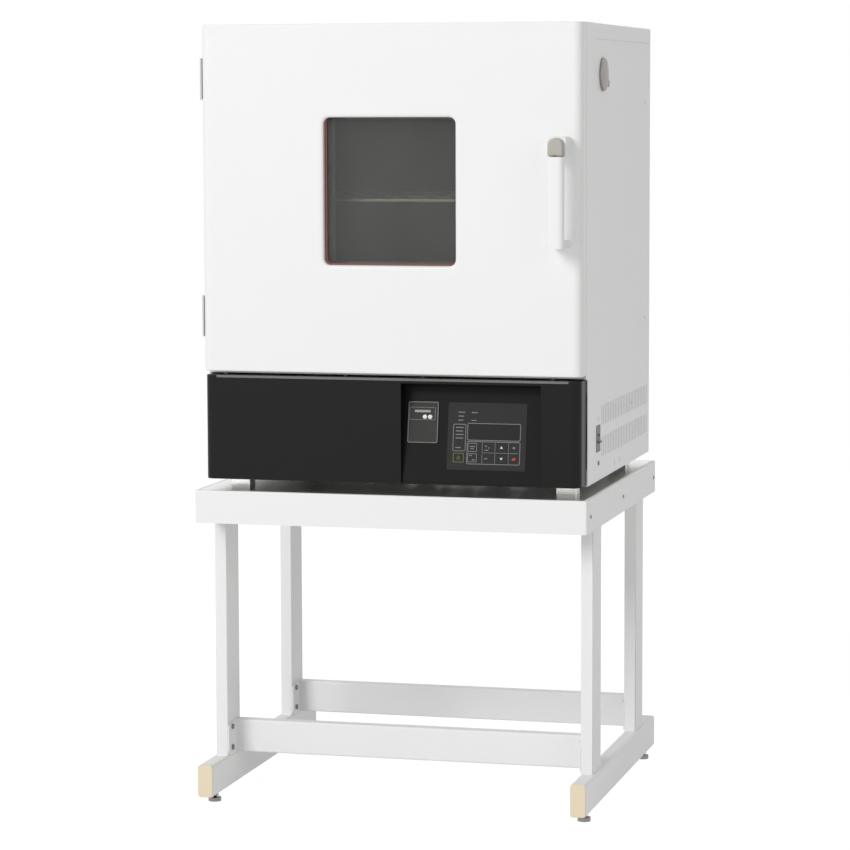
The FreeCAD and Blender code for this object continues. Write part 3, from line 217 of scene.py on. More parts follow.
# the record's slots, then those of pieces with a finish of their own: light shade, dark shade, roughness
finishes = {
    "white_paint": powderCoat("whitePaint", (0.875, 0.88, 0.878), (0.85, 0.855, 0.853), 0.42, shine=0.35),
    "black_paint": powderCoat("blackPaint", (0.0045, 0.0047, 0.0044), (0.0033, 0.0034, 0.0032), 0.4,
                              1300.0, 0.15, 0.2),
    "galvanised_sheet": sheetSteel("galvanisedSheet", (0.52, 0.54, 0.55), (0.42, 0.44, 0.45),
                                   0.42, "x", 90.0),
    "stainless": sheetSteel("stainless", (0.56, 0.55, 0.53), (0.46, 0.45, 0.43), 0.34, "z"),
    "mirror_steel": sheetSteel("mirrorSteel", (0.78, 0.77, 0.745), (0.72, 0.71, 0.69),
                               0.22, "x", 400.0, 0.02),
    "bright_metal": sheetSteel("brightMetal", (0.74, 0.74, 0.73), (0.62, 0.62, 0.61), 0.28, "x", 500.0),
    "mineral_wool": woolBlock("mineralWool"),
    "silicone": moulded("silicone", (0.25, 0.085, 0.075), (0.2, 0.065, 0.058), 0.55),
    "glass": windowGlass("windowGlass"),
    "keypad_film": moulded("keypadFilm", (0.019, 0.0198, 0.0194), (0.016, 0.0168, 0.0164), 0.5, shine=0.18),
    "black_plastic": moulded("blackPlastic", (0.016, 0.016, 0.016), (0.012, 0.012, 0.012), 0.5, shine=0.25),
    "white_plastic": moulded("whitePlastic", (0.8, 0.8, 0.79), (0.74, 0.74, 0.73), 0.35),
    "grey_plastic": moulded("greyPlastic", (0.46, 0.44, 0.39), (0.42, 0.4, 0.355), 0.45),
    "beige_plastic": moulded("beigePlastic", (0.86, 0.74, 0.55), (0.82, 0.7, 0.51), 0.45),
    "circuit_board": moulded("circuitBoard", (0.02, 0.13, 0.05), (0.015, 0.1, 0.04), 0.4),
    "printGrey": moulded("printGrey", (0.22, 0.22, 0.215), (0.19, 0.19, 0.185), 0.6),
    "printWhite": moulded("printWhite", (0.72, 0.72, 0.7), (0.66, 0.66, 0.64), 0.6),
    "printGreen": moulded("printGreen", (0.13, 0.16, 0.045), (0.11, 0.135, 0.04), 0.6),
    "printRed": moulded("printRed", (0.5, 0.035, 0.025), (0.42, 0.03, 0.02), 0.6),
    "displaySmoke": moulded("displaySmoke", (0.017, 0.0172, 0.0168), (0.014, 0.0142, 0.0138), 0.3,
                            shine=0.12),
    "plateGrey": moulded("plateGrey", (0.034, 0.0335, 0.032), (0.028, 0.0275, 0.0265), 0.5, shine=0.2),
    "recessBlack": powderCoat("recessBlack", (0.005, 0.0052, 0.005), (0.0038, 0.004, 0.0038), 0.5,
                              1300.0, 0.15, 0.12),
    # painted highlight along the fascia's bevel
    "ledgeHighlight": powderCoat("ledgeHighlight", (0.27, 0.265, 0.255), (0.23, 0.225, 0.217), 0.4, 1300.0, 0.15),
    "frameGrey": moulded("frameGrey", (0.17, 0.168, 0.163), (0.15, 0.148, 0.143), 0.45),
    # the base pan's light grey is partly its own paint and partly painted light, brightening its reflection
    # in the table top under the case
    "panGrey": powderCoat("panGrey", (0.6, 0.595, 0.575), (0.54, 0.535, 0.515), 0.5),
    "hingeGrey": powderCoat("hingeGrey", (0.6, 0.6, 0.59), (0.52, 0.52, 0.51), 0.4),
    # the chamber's stainless is darker than the outer stainless: painted shade, so the closed chamber reads
    # dark through the window
    "shadedChamberSteel": sheetSteel("shadedChamberSteel", (0.36, 0.355, 0.34), (0.29, 0.285, 0.275), 0.4, "z", 160.0),
    "shelfSteel": sheetSteel("shelfSteel", (0.93, 0.87, 0.73), (0.85, 0.79, 0.66), 0.36, "x", 300.0),
    "dullSteel": sheetSteel("dullSteel", (0.34, 0.32, 0.3), (0.27, 0.25, 0.235), 0.42, "z", 200.0),
    "screwSteel": sheetSteel("screwSteel", (0.3, 0.285, 0.265), (0.22, 0.21, 0.195), 0.35, "y", 300.0),
    "switchGrey": moulded("switchGrey", (0.17, 0.17, 0.162), (0.145, 0.145, 0.138), 0.5),
    "stripGrey": moulded("stripGrey", (0.32, 0.32, 0.31), (0.28, 0.28, 0.27), 0.4),
}


def coat(obj, finish):
    obj.data.materials.clear()
    obj.data.materials.append(finishes[finish])


ownFinish = {
    "panGrey": ("base_pan",),
    "switchGrey": ("breaker_body", "breaker_lever"),
    "screwSteel": ("levelling_feet", "case_screws", "stand_screws"),
    "dullSteel": ("exhaust_seat",),
    "shadedChamberSteel": ("chamber",),
    "recessBlack": ("recess_pan",),
    "shelfSteel": ("shelf_upper", "shelf_lower"),
    "hingeGrey": ("hinge_lower_halves", "hinge_upper_halves"),
}
bodyOf = {node: body for body, held in frame["record"]["behaviour"]["bodies"].items() for node in held}
slotOf = {part["node"]: part["material_slot"] for part in frame["record"]["subparts"]}
for node, slot in slotOf.items():
    coat(nodes[node], slot)
for finish, names in ownFinish.items():
    for node in names:
        coat(nodes[node], finish)
print("finishes on the frame's nodes")


# making pieces: all sizes in mm, from the oven's middle, the door's face and the floor
near = 0.1   # places closer than this are taken as one
past = 4.0   # cutters reach this far past what they cut


def spot(x, y, z):
    return Vector((x * mm, doorFace + y * mm, z * mm))


def inMm(corner):
    return Vector((corner.x, corner.y - doorFace, corner.z)) / mm


def clearSelection():
    bpy.ops.object.select_all(action="DESELECT")


def onlySelect(*objs):
    clearSelection()
    for obj in objs:
        obj.select_set(True)
    bpy.context.view_layer.objects.active = objs[0]


def block(name, low, high):
    clearSelection()
    low, high = spot(*low), spot(*high)
    bpy.ops.mesh.primitive_cube_add(size=1, location=(low + high) / 2, scale=high - low)
    obj = bpy.context.active_object
    obj.name = name
    bpy.ops.object.transform_apply(location=True, rotation=True, scale=True)
    return obj


def bar(name, middle, radius, length, axis, vertices=48):
    clearSelection()
    turn = {"x": (0, math.pi / 2, 0), "y": (math.pi / 2, 0, 0), "z": (0, 0, 0)}[axis]
    bpy.ops.mesh.primitive_cylinder_add(vertices=vertices, radius=radius * mm, depth=length * mm,
                                        location=spot(*middle), rotation=turn)
    obj = bpy.context.active_object
    obj.name = name
    bpy.ops.object.transform_apply(location=True, rotation=True, scale=True)
    return obj


def choose(obj, kind, test):
    # edit mode with only the vertices, edges or faces that pass the test selected
    onlySelect(obj)
    bpy.ops.object.mode_set(mode="EDIT")
    bpy.ops.mesh.select_mode(type=kind)
    bpy.ops.mesh.select_all(action="DESELECT")
    shape = bmesh.from_edit_mesh(obj.data)
    found = {"VERT": shape.verts, "EDGE": shape.edges, "FACE": shape.faces}[kind]
    for part in found:
        if kind == "VERT":
            part.select_set(test(inMm(part.co)))
        elif kind == "EDGE":
            part.select_set(test(*[inMm(v.co) for v in part.verts]))
        else:
            part.select_set(test(inMm(part.calc_center_median()), part.normal))
    shape.select_flush_mode()
    bmesh.update_edit_mesh(obj.data)


def leaveEdit():
    bpy.ops.object.mode_set(mode="OBJECT")


def roundEdges(obj, test, radius, segments=6):
    choose(obj, "EDGE", test)
    bpy.ops.mesh.bevel(offset=radius * mm, offset_type="OFFSET", segments=segments, affect="EDGES",
                       clamp_overlap=True)
    leaveEdit()


def removeFaces(obj, test):
    choose(obj, "FACE", test)
    bpy.ops.mesh.delete(type="FACE")
    leaveEdit()


def addModifier(obj, kind, **settings):
    onlySelect(obj)
    made = obj.modifiers.new(kind.lower(), kind)
    for name, value in settings.items():
        setattr(made, name, value)
    bpy.ops.object.modifier_apply(modifier=made.name)


def carve(obj, *cutters):
    for cutter in cutters:
        addModifier(obj, "BOOLEAN", operation="DIFFERENCE", object=cutter, solver="EXACT")
        bpy.data.objects.remove(cutter, do_unlink=True)


def unite(obj, *others):
    for other in others:
        addModifier(obj, "BOOLEAN", operation="UNION", object=other, solver="EXACT")
        bpy.data.objects.remove(other, do_unlink=True)


def joinAll(name, objs):
    onlySelect(*objs)
    if len(objs) > 1:
        bpy.ops.object.join()
    objs[0].name = name
    return objs[0]


def openWhole(obj):
    # edit mode with the whole mesh selected
    onlySelect(obj)
    bpy.ops.object.mode_set(mode="EDIT")
    bpy.ops.mesh.select_all(action="SELECT")


def weld(obj, distance=0.02):
    openWhole(obj)
    bpy.ops.mesh.remove_doubles(threshold=distance * mm)
    leaveEdit()


def faceOutwards(obj):
    openWhole(obj)
    bpy.ops.mesh.normals_make_consistent(inside=False)
    leaveEdit()


def shift(obj, kind, test, x=0.0, y=0.0, z=0.0):
    # moves what passes the test, in mm
    choose(obj, kind, test)
    bpy.ops.transform.translate(value=(x * mm, y * mm, z * mm))
    leaveEdit()


def smooth(obj, angle):
    onlySelect(obj)
    bpy.ops.object.shade_smooth_by_angle(angle=math.radians(angle))
    addModifier(obj, "WEIGHTED_NORMAL", keep_sharp=True)


def softEdges(obj, width, segments=3, angle=30):
    addModifier(obj, "BEVEL", width=width * mm, segments=segments, limit_method="ANGLE",
                angle_limit=math.radians(angle), harden_normals=False)


def settle(obj, body, slot, *replaced, angle=32):
    smooth(obj, angle)
    coat(obj, slot)
    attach(obj, body)
    if replaced:
        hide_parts(*replaced)
    return obj


def roundedPlate(name, low, high, corner, segments=8):
    # one face at depth y, upright like the door, from (x, y, z) low to high, its corners rounded
    x0, y, z0 = low
    x1, _, z1 = high
    clearSelection()
    middle = spot((x0 + x1) / 2, y, (z0 + z1) / 2)
    bpy.ops.mesh.primitive_plane_add(size=1, location=middle, rotation=(math.pi / 2, 0, 0))
    obj = bpy.context.active_object
    obj.name = name
    obj.scale = ((x1 - x0) * mm, (z1 - z0) * mm, 1)
    bpy.ops.object.transform_apply(location=True, rotation=True, scale=True)
    choose(obj, "VERT", lambda v: True)
    bpy.ops.mesh.bevel(offset=corner * mm, segments=segments, affect="VERTICES")
    leaveEdit()
    return obj


def thicken(obj, depth):
    # the face drawn out towards the front by the depth
    choose(obj, "FACE", lambda middle, normal: True)
    bpy.ops.mesh.extrude_region_move(TRANSFORM_OT_translate={"value": (0, -depth * mm, 0)})
    leaveEdit()
    faceOutwards(obj)


def roundedBlock(name, low, high, corner, segments=8):
    # a block whose four edges along Y are rounded
    obj = roundedPlate(name, (low[0], high[1], low[2]), (high[0], high[1], high[2]), corner, segments)
    thicken(obj, high[1] - low[1])
    return obj


frameWeld = 0.002
flatTurn = 0.2   # degrees between faces that are merged


def softened(node, angle):
    # the node's own shape, its flat faces merged whole and its bends smoothly shaded
    obj = bpy.data.objects.new(node + "Smooth", nodes[node].data.copy())
    bpy.context.scene.collection.objects.link(obj)
    worn = obj.data.materials[0]
    weld(obj, frameWeld)
    openWhole(obj)
    bpy.ops.mesh.dissolve_limited(angle_limit=math.radians(flatTurn))
    leaveEdit()
    settle(obj, bodyOf[node], slotOf[node], node, angle=angle)
    obj.data.materials.clear()
    obj.data.materials.append(worn)
    return obj


# door skin: a pan with rounded upright edges and a rolled rim round the window
doorSkin = {
    "corner": 16.0,
    "bend": 2.4,
    "sheet": 1.2,
    "seam": 0.05,
    "windowHalf": 123.2,
    "windowCorner": 12.0,
    "windowUp": (196.0, 462.6),  # over the door's lower edge
    "rim": 7.5,
    "rollDeep": 4.0,
    "rimDepth": 10.0,
    "rimSteps": 7,
}


def makeDoorSkin():
    low, high = [inMm(corner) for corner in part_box("door_skin")]
    part = doorSkin
    skin = block("doorSkin", low, high)
    roundEdges(skin, lambda a, b: max(a.y, b.y) < near and abs(a.x - b.x) < near, part["corner"], 10)
    roundEdges(skin, lambda a, b: abs(a.z - b.z) < near and min(a.y, b.y) < high.y - near, part["bend"], 3)
    grow = part["rim"]
    x1 = part["windowHalf"] + grow
    z0 = low.z + part["windowUp"][0] - grow
    z1 = low.z + part["windowUp"][1] + grow
    corner = part["windowCorner"] + grow
    carve(skin, roundedBlock("hole", (-x1, -past, z0), (x1, high.y + past, z1), corner, 8))

    def isHole(middle):
        return abs(middle.x) < x1 + near and z0 - near < middle.z < z1 + near and middle.y > near

    removeFaces(skin, lambda middle, normal: middle.y > high.y - near or isHole(middle))
    rim = roundedPlate("rim", (-x1, 0, z0), (x1, 0, z1), corner, 8)
    choose(rim, "FACE", lambda middle, normal: True)
    steps = part["rimSteps"]
    turns = [math.pi / 2 * i / steps for i in range(steps + 1)]
    for a, b in zip(turns, turns[1:]):
        inwards = grow * (math.sin(b) - math.sin(a))
        back = part["rollDeep"] * (math.cos(a) - math.cos(b))
        bpy.ops.mesh.inset(thickness=inwards * mm, depth=-back * mm)
    straight = part["rimDepth"] - part["rollDeep"]
    bpy.ops.mesh.extrude_region_move(TRANSFORM_OT_translate={"value": (0, straight * mm, 0)})
    bpy.ops.mesh.delete(type="FACE")
    leaveEdit()
    joinAll("doorSkin", [skin, rim])
    weld(skin, part["seam"])
    faceOutwards(skin)
    addModifier(skin, "SOLIDIFY", thickness=part["sheet"] * mm, offset=-1.0, use_even_offset=True)
    settle(skin, "door", "white_paint", "door_skin")


makeDoorSkin()
print("door skin made")

# fascia: a black shell with rounded upright edges, a mitred bevel along its ledge and the recess's mouth
fascia = {
    "corner": 16.0,
    "sheet": 1.5,
    "edge": 0.5,
    "bevelFront": (330.0, 1.0, 3.8),   # half length, depth, under the ledge
    "bevelBack": (335.0, 8.0),         # half length, depth
    "wedge": (10.0, 30.0, 12.0),       # start before the bevel, length, height
    "band": (0.05, 0.03),              # thickness, lift
    "mouthCorner": 2.0,
    "mouthDeep": 9.0,
    "panSheet": 1.2,
}


def makeFascia():
    low, high = [inMm(corner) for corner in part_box("fascia_shell")]
    part = fascia
    shell = block("fasciaShell", low, high)
    roundEdges(shell, lambda a, b: max(a.y, b.y) < low.y + near and abs(a.x - b.x) < near, part["corner"], 10)
    frontHalf, frontY, under = part["bevelFront"]
    backHalf, backY = part["bevelBack"]
    slope = under / (backY - frontY)
    spread = (backHalf - frontHalf) / (backY - frontY)

    # its lower face lies along the bevel, and its ends are splayed
    lead, length, tall = part["wedge"]
    startY = frontY - lead
    startZ = high.z - under - lead * slope
    wedge = block("wedge", (-1, startY, startZ), (1, startY + length, startZ + tall))
    shift(wedge, "VERT", lambda v: v.y > startY + near, z=length * slope)
    for side in (-1, 1):
        for y in (startY, startY + length):
            half = frontHalf + spread * (y - frontY)
            shift(wedge, "VERT", lambda v: v.x * side > 0 and abs(v.y - y) < near, x=side * (half - 1))

    recessLow, recessHigh = [inMm(corner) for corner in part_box("recess_pan")]
    wall = Vector((part["panSheet"], 0, part["panSheet"]))
    mouthLow = recessLow + wall
    mouthHigh = recessHigh - wall
    mouth = roundedBlock("mouth", (mouthLow.x, low.y - past, mouthLow.z),
                         (mouthHigh.x, low.y + part["mouthDeep"], mouthHigh.z), part["mouthCorner"], 4)
    carve(shell, wedge, mouth)
    weld(shell)

    def isMouth(middle):
        return (mouthLow.x - near < middle.x < mouthHigh.x + near and middle.y > low.y + near and
                mouthLow.z - near < middle.z < mouthHigh.z + near)

    removeFaces(shell, lambda middle, normal: middle.y > high.y - near or middle.z < low.z + near or
                isMouth(middle))
    faceOutwards(shell)
    addModifier(shell, "SOLIDIFY", thickness=part["sheet"] * mm, offset=-1.0, use_even_offset=True)
    softEdges(shell, part["edge"], 2, 25)
    settle(shell, "base", "black_paint", "fascia_shell")

    # the bevel's painted highlight: a thin lighter band laid on it in place of the light it catches, its ends
    # cut on the slant
    thick, lift = part["band"]
    band = block("bevelHighlightBand", (-frontHalf, frontY, high.z - under), (frontHalf, backY, high.z))
    shift(band, "VERT", lambda v: v.z > high.z - near and v.y < backY - near, z=thick - under)
    shift(band, "VERT", lambda v: v.z < high.z - under + thick / 2 and v.y > frontY + near, z=under - thick)
    for side in (-1, 1):
        shift(band, "VERT", lambda v: v.y > backY - near and v.x * side > 0, x=side * (backHalf - frontHalf))
    shift(band, "VERT", lambda v: True, z=lift)
    settle(band, "base", "black_paint")
    coat(band, "ledgeHighlight")


makeFascia()
print("fascia made")

# thumb button: a domed cap with a notch at its foot, on its stem
thumb = {
    "capBack": 14.5,
    "shoulder": 12.0,
    "foot": 4.5,
    "crown": 5.0,
    "notch": (5.0, 12.0, 2.6),   # radius, length, its middle below the cap
    "edge": 0.4,
    "stem": 4.0,
    "stemIn": 9.5,      # from the cap's left side
    "stemRoot": 2.0,    # sunk in the cap
    "stemTip": 3.7,
}
# handle: a rounded grip on a foot, with the housing of the thumb button at its top
handle = {
    "gripCorner": 10.0,
    "gripBackCorner": 9.0,
    "gripDeep": 20.0,
    "gripTop": 1.5,      # over the housing's lower edge
    "gripInset": 1.2,    # the housing is this much wider on each side
    "housingTall": 37.0,
    "housingFront": 16.0,  # behind the grip's front
    "housingCorner": 5.0,
    "footTall": 14.0,
    "footInset": 0.4,
    "footLap": 12.0,     # its reach into the grip
    "footLift": 0.01,    # keeps its lower face off the grip's
    "footCorner": 3.0,
    "roomGap": 0.3,
    "roomOut": 2.0,      # before the housing's front
    "roomDeep": 7.0,
    "edge": 1.2,
}


def domedBlock(name, low, high, shoulder, foot):
    made = block(name, low, high)
    roundEdges(made, lambda a, b: abs(a.y - b.y) > 1 and a.z > high[2] - near, shoulder, 10)
    roundEdges(made, lambda a, b: abs(a.y - b.y) > 1 and a.z < low[2] + near, foot, 5)
    return made


def makeHandle():
    low, high = [inMm(corner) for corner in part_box("handle")]
    part = handle
    left = low.x + part["gripInset"]
    right = high.x - part["gripInset"]
    gripBack = low.y + part["gripDeep"]
    housingLow = high.z - part["housingTall"]
    housingFront = low.y + part["housingFront"]

    def isUpright(a, b):
        return abs(a.x - b.x) < near and abs(a.y - b.y) < near

    grip = block("grip", (left, low.y, low.z), (right, gripBack, housingLow + part["gripTop"]))
    roundEdges(grip, lambda a, b: isUpright(a, b) and a.y < low.y + near, part["gripCorner"], 8)
    roundEdges(grip, lambda a, b: isUpright(a, b) and a.y > gripBack - near, part["gripBackCorner"], 6)
    foot = block("foot", (left + part["footInset"], gripBack - part["footLap"], low.z + part["footLift"]),
                 (right - part["footInset"], high.y, low.z + part["footTall"]))
    roundEdges(foot, lambda a, b: abs(a.y - b.y) > 1 and a.z > low.z + near, part["footCorner"], 4)
    housing = roundedBlock("housing", (low.x, housingFront, housingLow), high, part["housingCorner"], 6)
    unite(grip, foot, housing)
    gap = part["roomGap"]
    capLow, capHigh = [inMm(corner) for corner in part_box("thumb_button")]
    room = domedBlock("room", (capLow.x - gap, housingFront - part["roomOut"], capLow.z - gap),
                      (capHigh.x + gap, housingFront + part["roomDeep"], capHigh.z + gap),
                      thumb["shoulder"] + gap, thumb["foot"] + gap)
    carve(grip, room)
    weld(grip)
    softEdges(grip, part["edge"], 3, 40)
    grip.name = "handleGrip"
    settle(grip, "door", "white_paint", "handle", angle=40)


def makeThumb():
    low, high = [inMm(corner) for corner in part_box("thumb_button")]
    part = thumb
    back = low.y + part["capBack"]
    cap = domedBlock("thumbCap", low, (high.x, back, high.z), part["shoulder"], part["foot"])
    roundEdges(cap, lambda a, b: max(a.y, b.y) < low.y + near, part["crown"], 6)
    radius, length, below = part["notch"]
    carve(cap, bar("notch", ((low.x + high.x) / 2, low.y, low.z - below), radius, length, "y", 64))
    root = back - part["stemRoot"]
    middle = (low.x + part["stemIn"], (root + high.y) / 2, (low.z + high.z) / 2)
    stem = bar("stem", middle, part["stem"], high.y - root, "y", 32)
    roundEdges(stem, lambda a, b: min(a.y, b.y) > high.y - near, part["stemTip"], 6)
    unite(cap, stem)
    softEdges(cap, part["edge"], 2, 45)
    settle(cap, "button", "grey_plastic", "thumb_button", angle=40)


makeHandle()
print("handle made")
makeThumb()
print("thumb button made")

# pieces that keep the frame's own shape, smoothly shaded where they turn by less than this many degrees
smoothed = {
    32: ("top_cover", "side_panel_left", "side_panel_right", "rear_panel", "base_pan", "front_frame",
         "stand_top", "stand_apron", "stand_frame", "stand_side_left", "stand_side_right", "cross_rails",
         "rail_end_caps", "oven_feet", "chamber", "door_inner_panel", "door_gasket", "window_gasket",
         "window_frame", "recess_pan", "keypad_panel", "latch_keeper", "protector_body", "breaker_body",
         "breaker_lever", "deck_plate", "floor_plate"),
    42: ("levelling_feet", "exhaust_seat", "hinge_lower_halves", "hinge_upper_halves", "case_screws",
         "door_screws", "stand_screws", "set_button_left", "set_button_right", "shelf_racks",
         "shelf_upper", "shelf_lower", "cable_gland", "heaters", "latch_lever", "key_power", "key_menu",
         "key_back", "key_up", "key_down"),
}
for angle, names in smoothed.items():
    for node in names:
        softened(node, angle)

# screws in the case's sides, but for those round the breaker, are painted over with it
paintedSide = Vector((0.35, 0.1, 0.7))  # the least they lie out, back and up, in metres
caseScrews = bpy.data.objects["case_screwsSmooth"]
caseScrews.data.materials.append(finishes["white_paint"])
for face in caseScrews.data.polygons:
    if all(abs(reach) > least for reach, least in zip(face.center, paintedSide)):
        face.material_index = 1
print("smooth pieces of case and stand made")

# air outlet's cap: a shallow domed disc with a rolled edge and a finger tab low on its rear side
damper = {
    "edge": 3.0,
    "domeSteps": ((1.5, 0.0), (7.0, 1.1), (8.0, 0.7), (8.0, 0.3)),   # inwards, outwards
    "tab": (12.0, 10.0, 2.5),   # width, reach past the rim, thickness
    "flat": 0.999,              # only the flat face points out this squarely
    "tabRoot": 5.0,
    "tabCorner": 3.0,
    "tabEdge": 0.4,
    "tabTurn": 27.0,            # degrees down
}


def makeDamper():
    low, high = [inMm(corner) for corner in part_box("damper_cap")]
    part = damper
    radius = (high.z - low.z) / 2
    middle = Vector(((low.x + high.x) / 2, low.y + radius, (low.z + high.z) / 2))
    cap = bar("damperCap", middle, radius, high.x - low.x, "x", 72)
    roundEdges(cap, lambda a, b: min(a.x, b.x) > high.x - near, part["edge"], 6)
    choose(cap, "FACE", lambda centre, normal: normal.x > part["flat"])
    for inwards, outwards in part["domeSteps"]:
        bpy.ops.mesh.inset(thickness=inwards * mm, depth=outwards * mm)
    leaveEdit()
    wide, reach, thick = part["tab"]
    rim = middle.y + radius
    tab = block("tab", (high.x - thick, rim - part["tabRoot"], middle.z - wide / 2),
                (high.x, rim + reach, middle.z + wide / 2))
    roundEdges(tab, lambda a, b: abs(a.x - b.x) > 1 and a.y > rim, part["tabCorner"], 5)
    choose(tab, "VERT", lambda v: True)
    bpy.ops.transform.rotate(value=math.radians(part["tabTurn"]), orient_axis="X",
                             center_override=spot(*middle))
    leaveEdit()
    softEdges(tab, part["tabEdge"], 2, 40)
    joinAll("damperCap", [cap, tab])
    settle(cap, "damper", "stainless", "damper_cap", angle=40)
    coat(cap, "dullSteel")


makeDamper()
print("damper made")

# keypad: fine printed frames, marks and key signs, each a hair proud of the film. Places are across and
# up from the recess's lower left corner, and each word is a bare bar.
keypad = {
    "print": 0.1,
    "sheetFace": 0.8,
    "keyFace": 1.3,
    "sunk": 0.02,
    "line": 1.1,
    "panSheet": 1.2,
    "footDeep": 5.0,     # the slope's foot behind the door's face
    # left, right, low, high, corner
    "frames": ((93.0, 117.0, 59.5, 109.0, 3.0), (119.5, 218.5, 79.5, 111.0, 3.0),
               (119.5, 218.5, 36.5, 78.0, 3.0)),
    "display": (121.5, 216.5, 81.3, 109.3, 2.0),
    # lines between the keys: places across, with their width and corner, and heights
    "columns": (148.2, 172.0, 196.9),
    "columnLine": (0.7, 0.3),
    "columnUp": ((38.5, 56.0), (59.2, 76.0)),
    "row": (147.9, 214.5, 57.2, 58.0, 0.3),
    # left end, height of the middle, length
    "words": ((102.0, 130.3, 12.5), (102.0, 123.2, 10.5), (102.0, 115.8, 9.0), (126.5, 130.0, 11.0),
              (126.5, 115.8, 9.0), (97.8, 102.5, 14.5), (97.8, 96.2, 13.5), (97.8, 89.8, 15.0),
              (97.8, 83.4, 14.5), (97.8, 66.0, 10.5), (152.5, 62.4, 7.5), (152.0, 47.0, 6.5)),
    "wordShape": (1.6, 0.5),   # height, corner
    # across, up, radius, sides, turn
    "signs": ((155.0, 69.6, 1.5, 12, 0), (160.5, 66.6, 1.2, 12, 0), (206.8, 67.4, 3.2, 3, 30)),
    "stop": (207.0, 47.2, 3.9, 24, -20),
    "stopFlat": 0.62,
    # each key's print: node, finish, frames (with corner and line), bars, signs
    "keys": {
        "keyPowerPrint": ("key_power", "printGreen",
                          ((94.3, 114.7, 39.2, 56.3, 1.6, 1.2), (101.4, 107.6, 43.6, 49.8, 3.0, 0.9)),
                          ((104.0, 105.0, 47.0, 52.0, 0.3),), ()),
        "keyMenuPrint": ("key_menu", "printGrey", ((121.3, 138.5, 59.1, 74.7, 1.4, 1.0),),
                         ((125.0, 134.8, 67.6, 69.2, 0.4), (126.5, 133.0, 63.6, 65.2, 0.4)), ()),
        "keyBackPrint": ("key_back", "printGrey", ((121.3, 138.5, 40.2, 56.2, 1.4, 1.0),),
                         ((124.5, 129.5, 51.4, 53.0, 0.4), (129.5, 135.0, 43.6, 45.2, 0.4)), ()),
        "keyUpPrint": ("key_up", "printWhite", (), (), ((184.0, 67.2, 3.1, 3, 0),)),
        "keyDownPrint": ("key_down", "printWhite", (), (), ((184.0, 47.6, 3.1, 3, 180),)),
    },
}
joints = {joint["name"]: joint for joint in frame["record"]["behaviour"]["joints"]}
slopeTurn = math.asin(joints["press_key_up"]["axis"][2])
recessCorner = inMm(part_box("recess_pan")[0])
slopeFoot = spot(recessCorner.x + keypad["panSheet"], keypad["footDeep"], recessCorner.z + keypad["panSheet"])


def layOnSlope(obj):
    # drawn upright on the door's plane from the recess's lower left corner, then leant back
    obj.data.transform(Matrix.Translation((0, -doorFace, 0)))
    obj.rotation_euler = (slopeTurn, 0, 0)
    obj.location = slopeFoot
    onlySelect(obj)
    bpy.ops.object.transform_apply(location=True, rotation=True, scale=True)


def printFrame(u0, u1, v0, v1, corner, width, face, rise=keypad["print"]):
    # a thin closed line
    obj = roundedPlate("line", (u0, -face, v0), (u1, -face, v1), corner, 4)
    choose(obj, "FACE", lambda middle, normal: True)
    bpy.ops.mesh.inset(thickness=width * mm, depth=0)
    bpy.ops.mesh.delete(type="FACE")
    leaveEdit()
    thicken(obj, rise)
    return obj


def printPatch(u0, u1, v0, v1, corner, face):
    obj = roundedPlate("patch", (u0, -face, v0), (u1, -face, v1), corner, 3)
    thicken(obj, keypad["print"])
    return obj


def printSign(u, v, radius, sides, turn, face, stretch=1.0):
    # a filled sign with this many sides
    clearSelection()
    bpy.ops.mesh.primitive_circle_add(vertices=sides, radius=radius * mm, fill_type="NGON",
                                      location=spot(u, -face, v),
                                      rotation=(math.pi / 2, math.radians(turn), 0))
    obj = bpy.context.active_object
    obj.scale = (1, stretch, 1)
    bpy.ops.object.transform_apply(location=True, rotation=True, scale=True)
    thicken(obj, keypad["print"])
    return obj


def finishPrint(name, parts, body, finish):
    obj = joinAll(name, parts)
    layOnSlope(obj)
    settle(obj, body, "keypad_film")
    coat(obj, finish)


def makeKeypad():
    part = keypad
    film = part["sheetFace"] - part["sunk"]
    lines = [printFrame(*edges, part["line"], film) for edges in part["frames"]]
    wide, corner = part["columnLine"]
    for u in part["columns"]:
        for v0, v1 in part["columnUp"]:
            lines.append(printPatch(u - wide / 2, u + wide / 2, v0, v1, corner, film))
    lines.append(printPatch(*part["row"], film))
    tall, corner = part["wordShape"]
    for u, v, length in part["words"]:
        lines.append(printPatch(u, u + length, v - tall / 2, v + tall / 2, corner, film))
    for sign in part["signs"]:
        lines.append(printSign(*sign, film))
    finishPrint("keypadLines", lines, "base", "printGrey")
    finishPrint("keypadStop", [printSign(*part["stop"], film, part["stopFlat"])], "base", "printRed")
    finishPrint("displayWindow", [printPatch(*part["display"], film)], "base", "displaySmoke")

    key = part["keyFace"] - part["sunk"]
    for name, (node, finish, frames, bars, signs) in part["keys"].items():
        prints = [printFrame(*edges, key) for edges in frames]
        prints += [printPatch(*edges, key) for edges in bars]
        prints += [printSign(*sign, key) for sign in signs]
        finishPrint(name, prints, bodyOf[node], finish)


makeKeypad()
print("keypad prints made")

# protector plate: a raised border, a framed field with two button holes and a light strip
protector = {
    "rise": 2.4,
    "plate": (8.3, 64.7, 73.0, 148.0, 3.0),      # left, right, low, high, corner
    "border": 1.5,
    "field": (10.5, 59.2, 114.6, 138.0, 1.8),
    "fieldLine": 1.0,
    "frames": (0.5, 0.55),       # over the plate, thickness
    "buttonHoles": (39.9, 49.7),
    "buttonUp": 120.4,
    "holeRadius": 4.1,
    "strip": (20.3, 50.2, 128.4, 132.8, 0.8),
    "stripDeep": (1.0, 2.2),     # back, front
    "edge": 0.2,
    "frameEdge": 0.15,
}


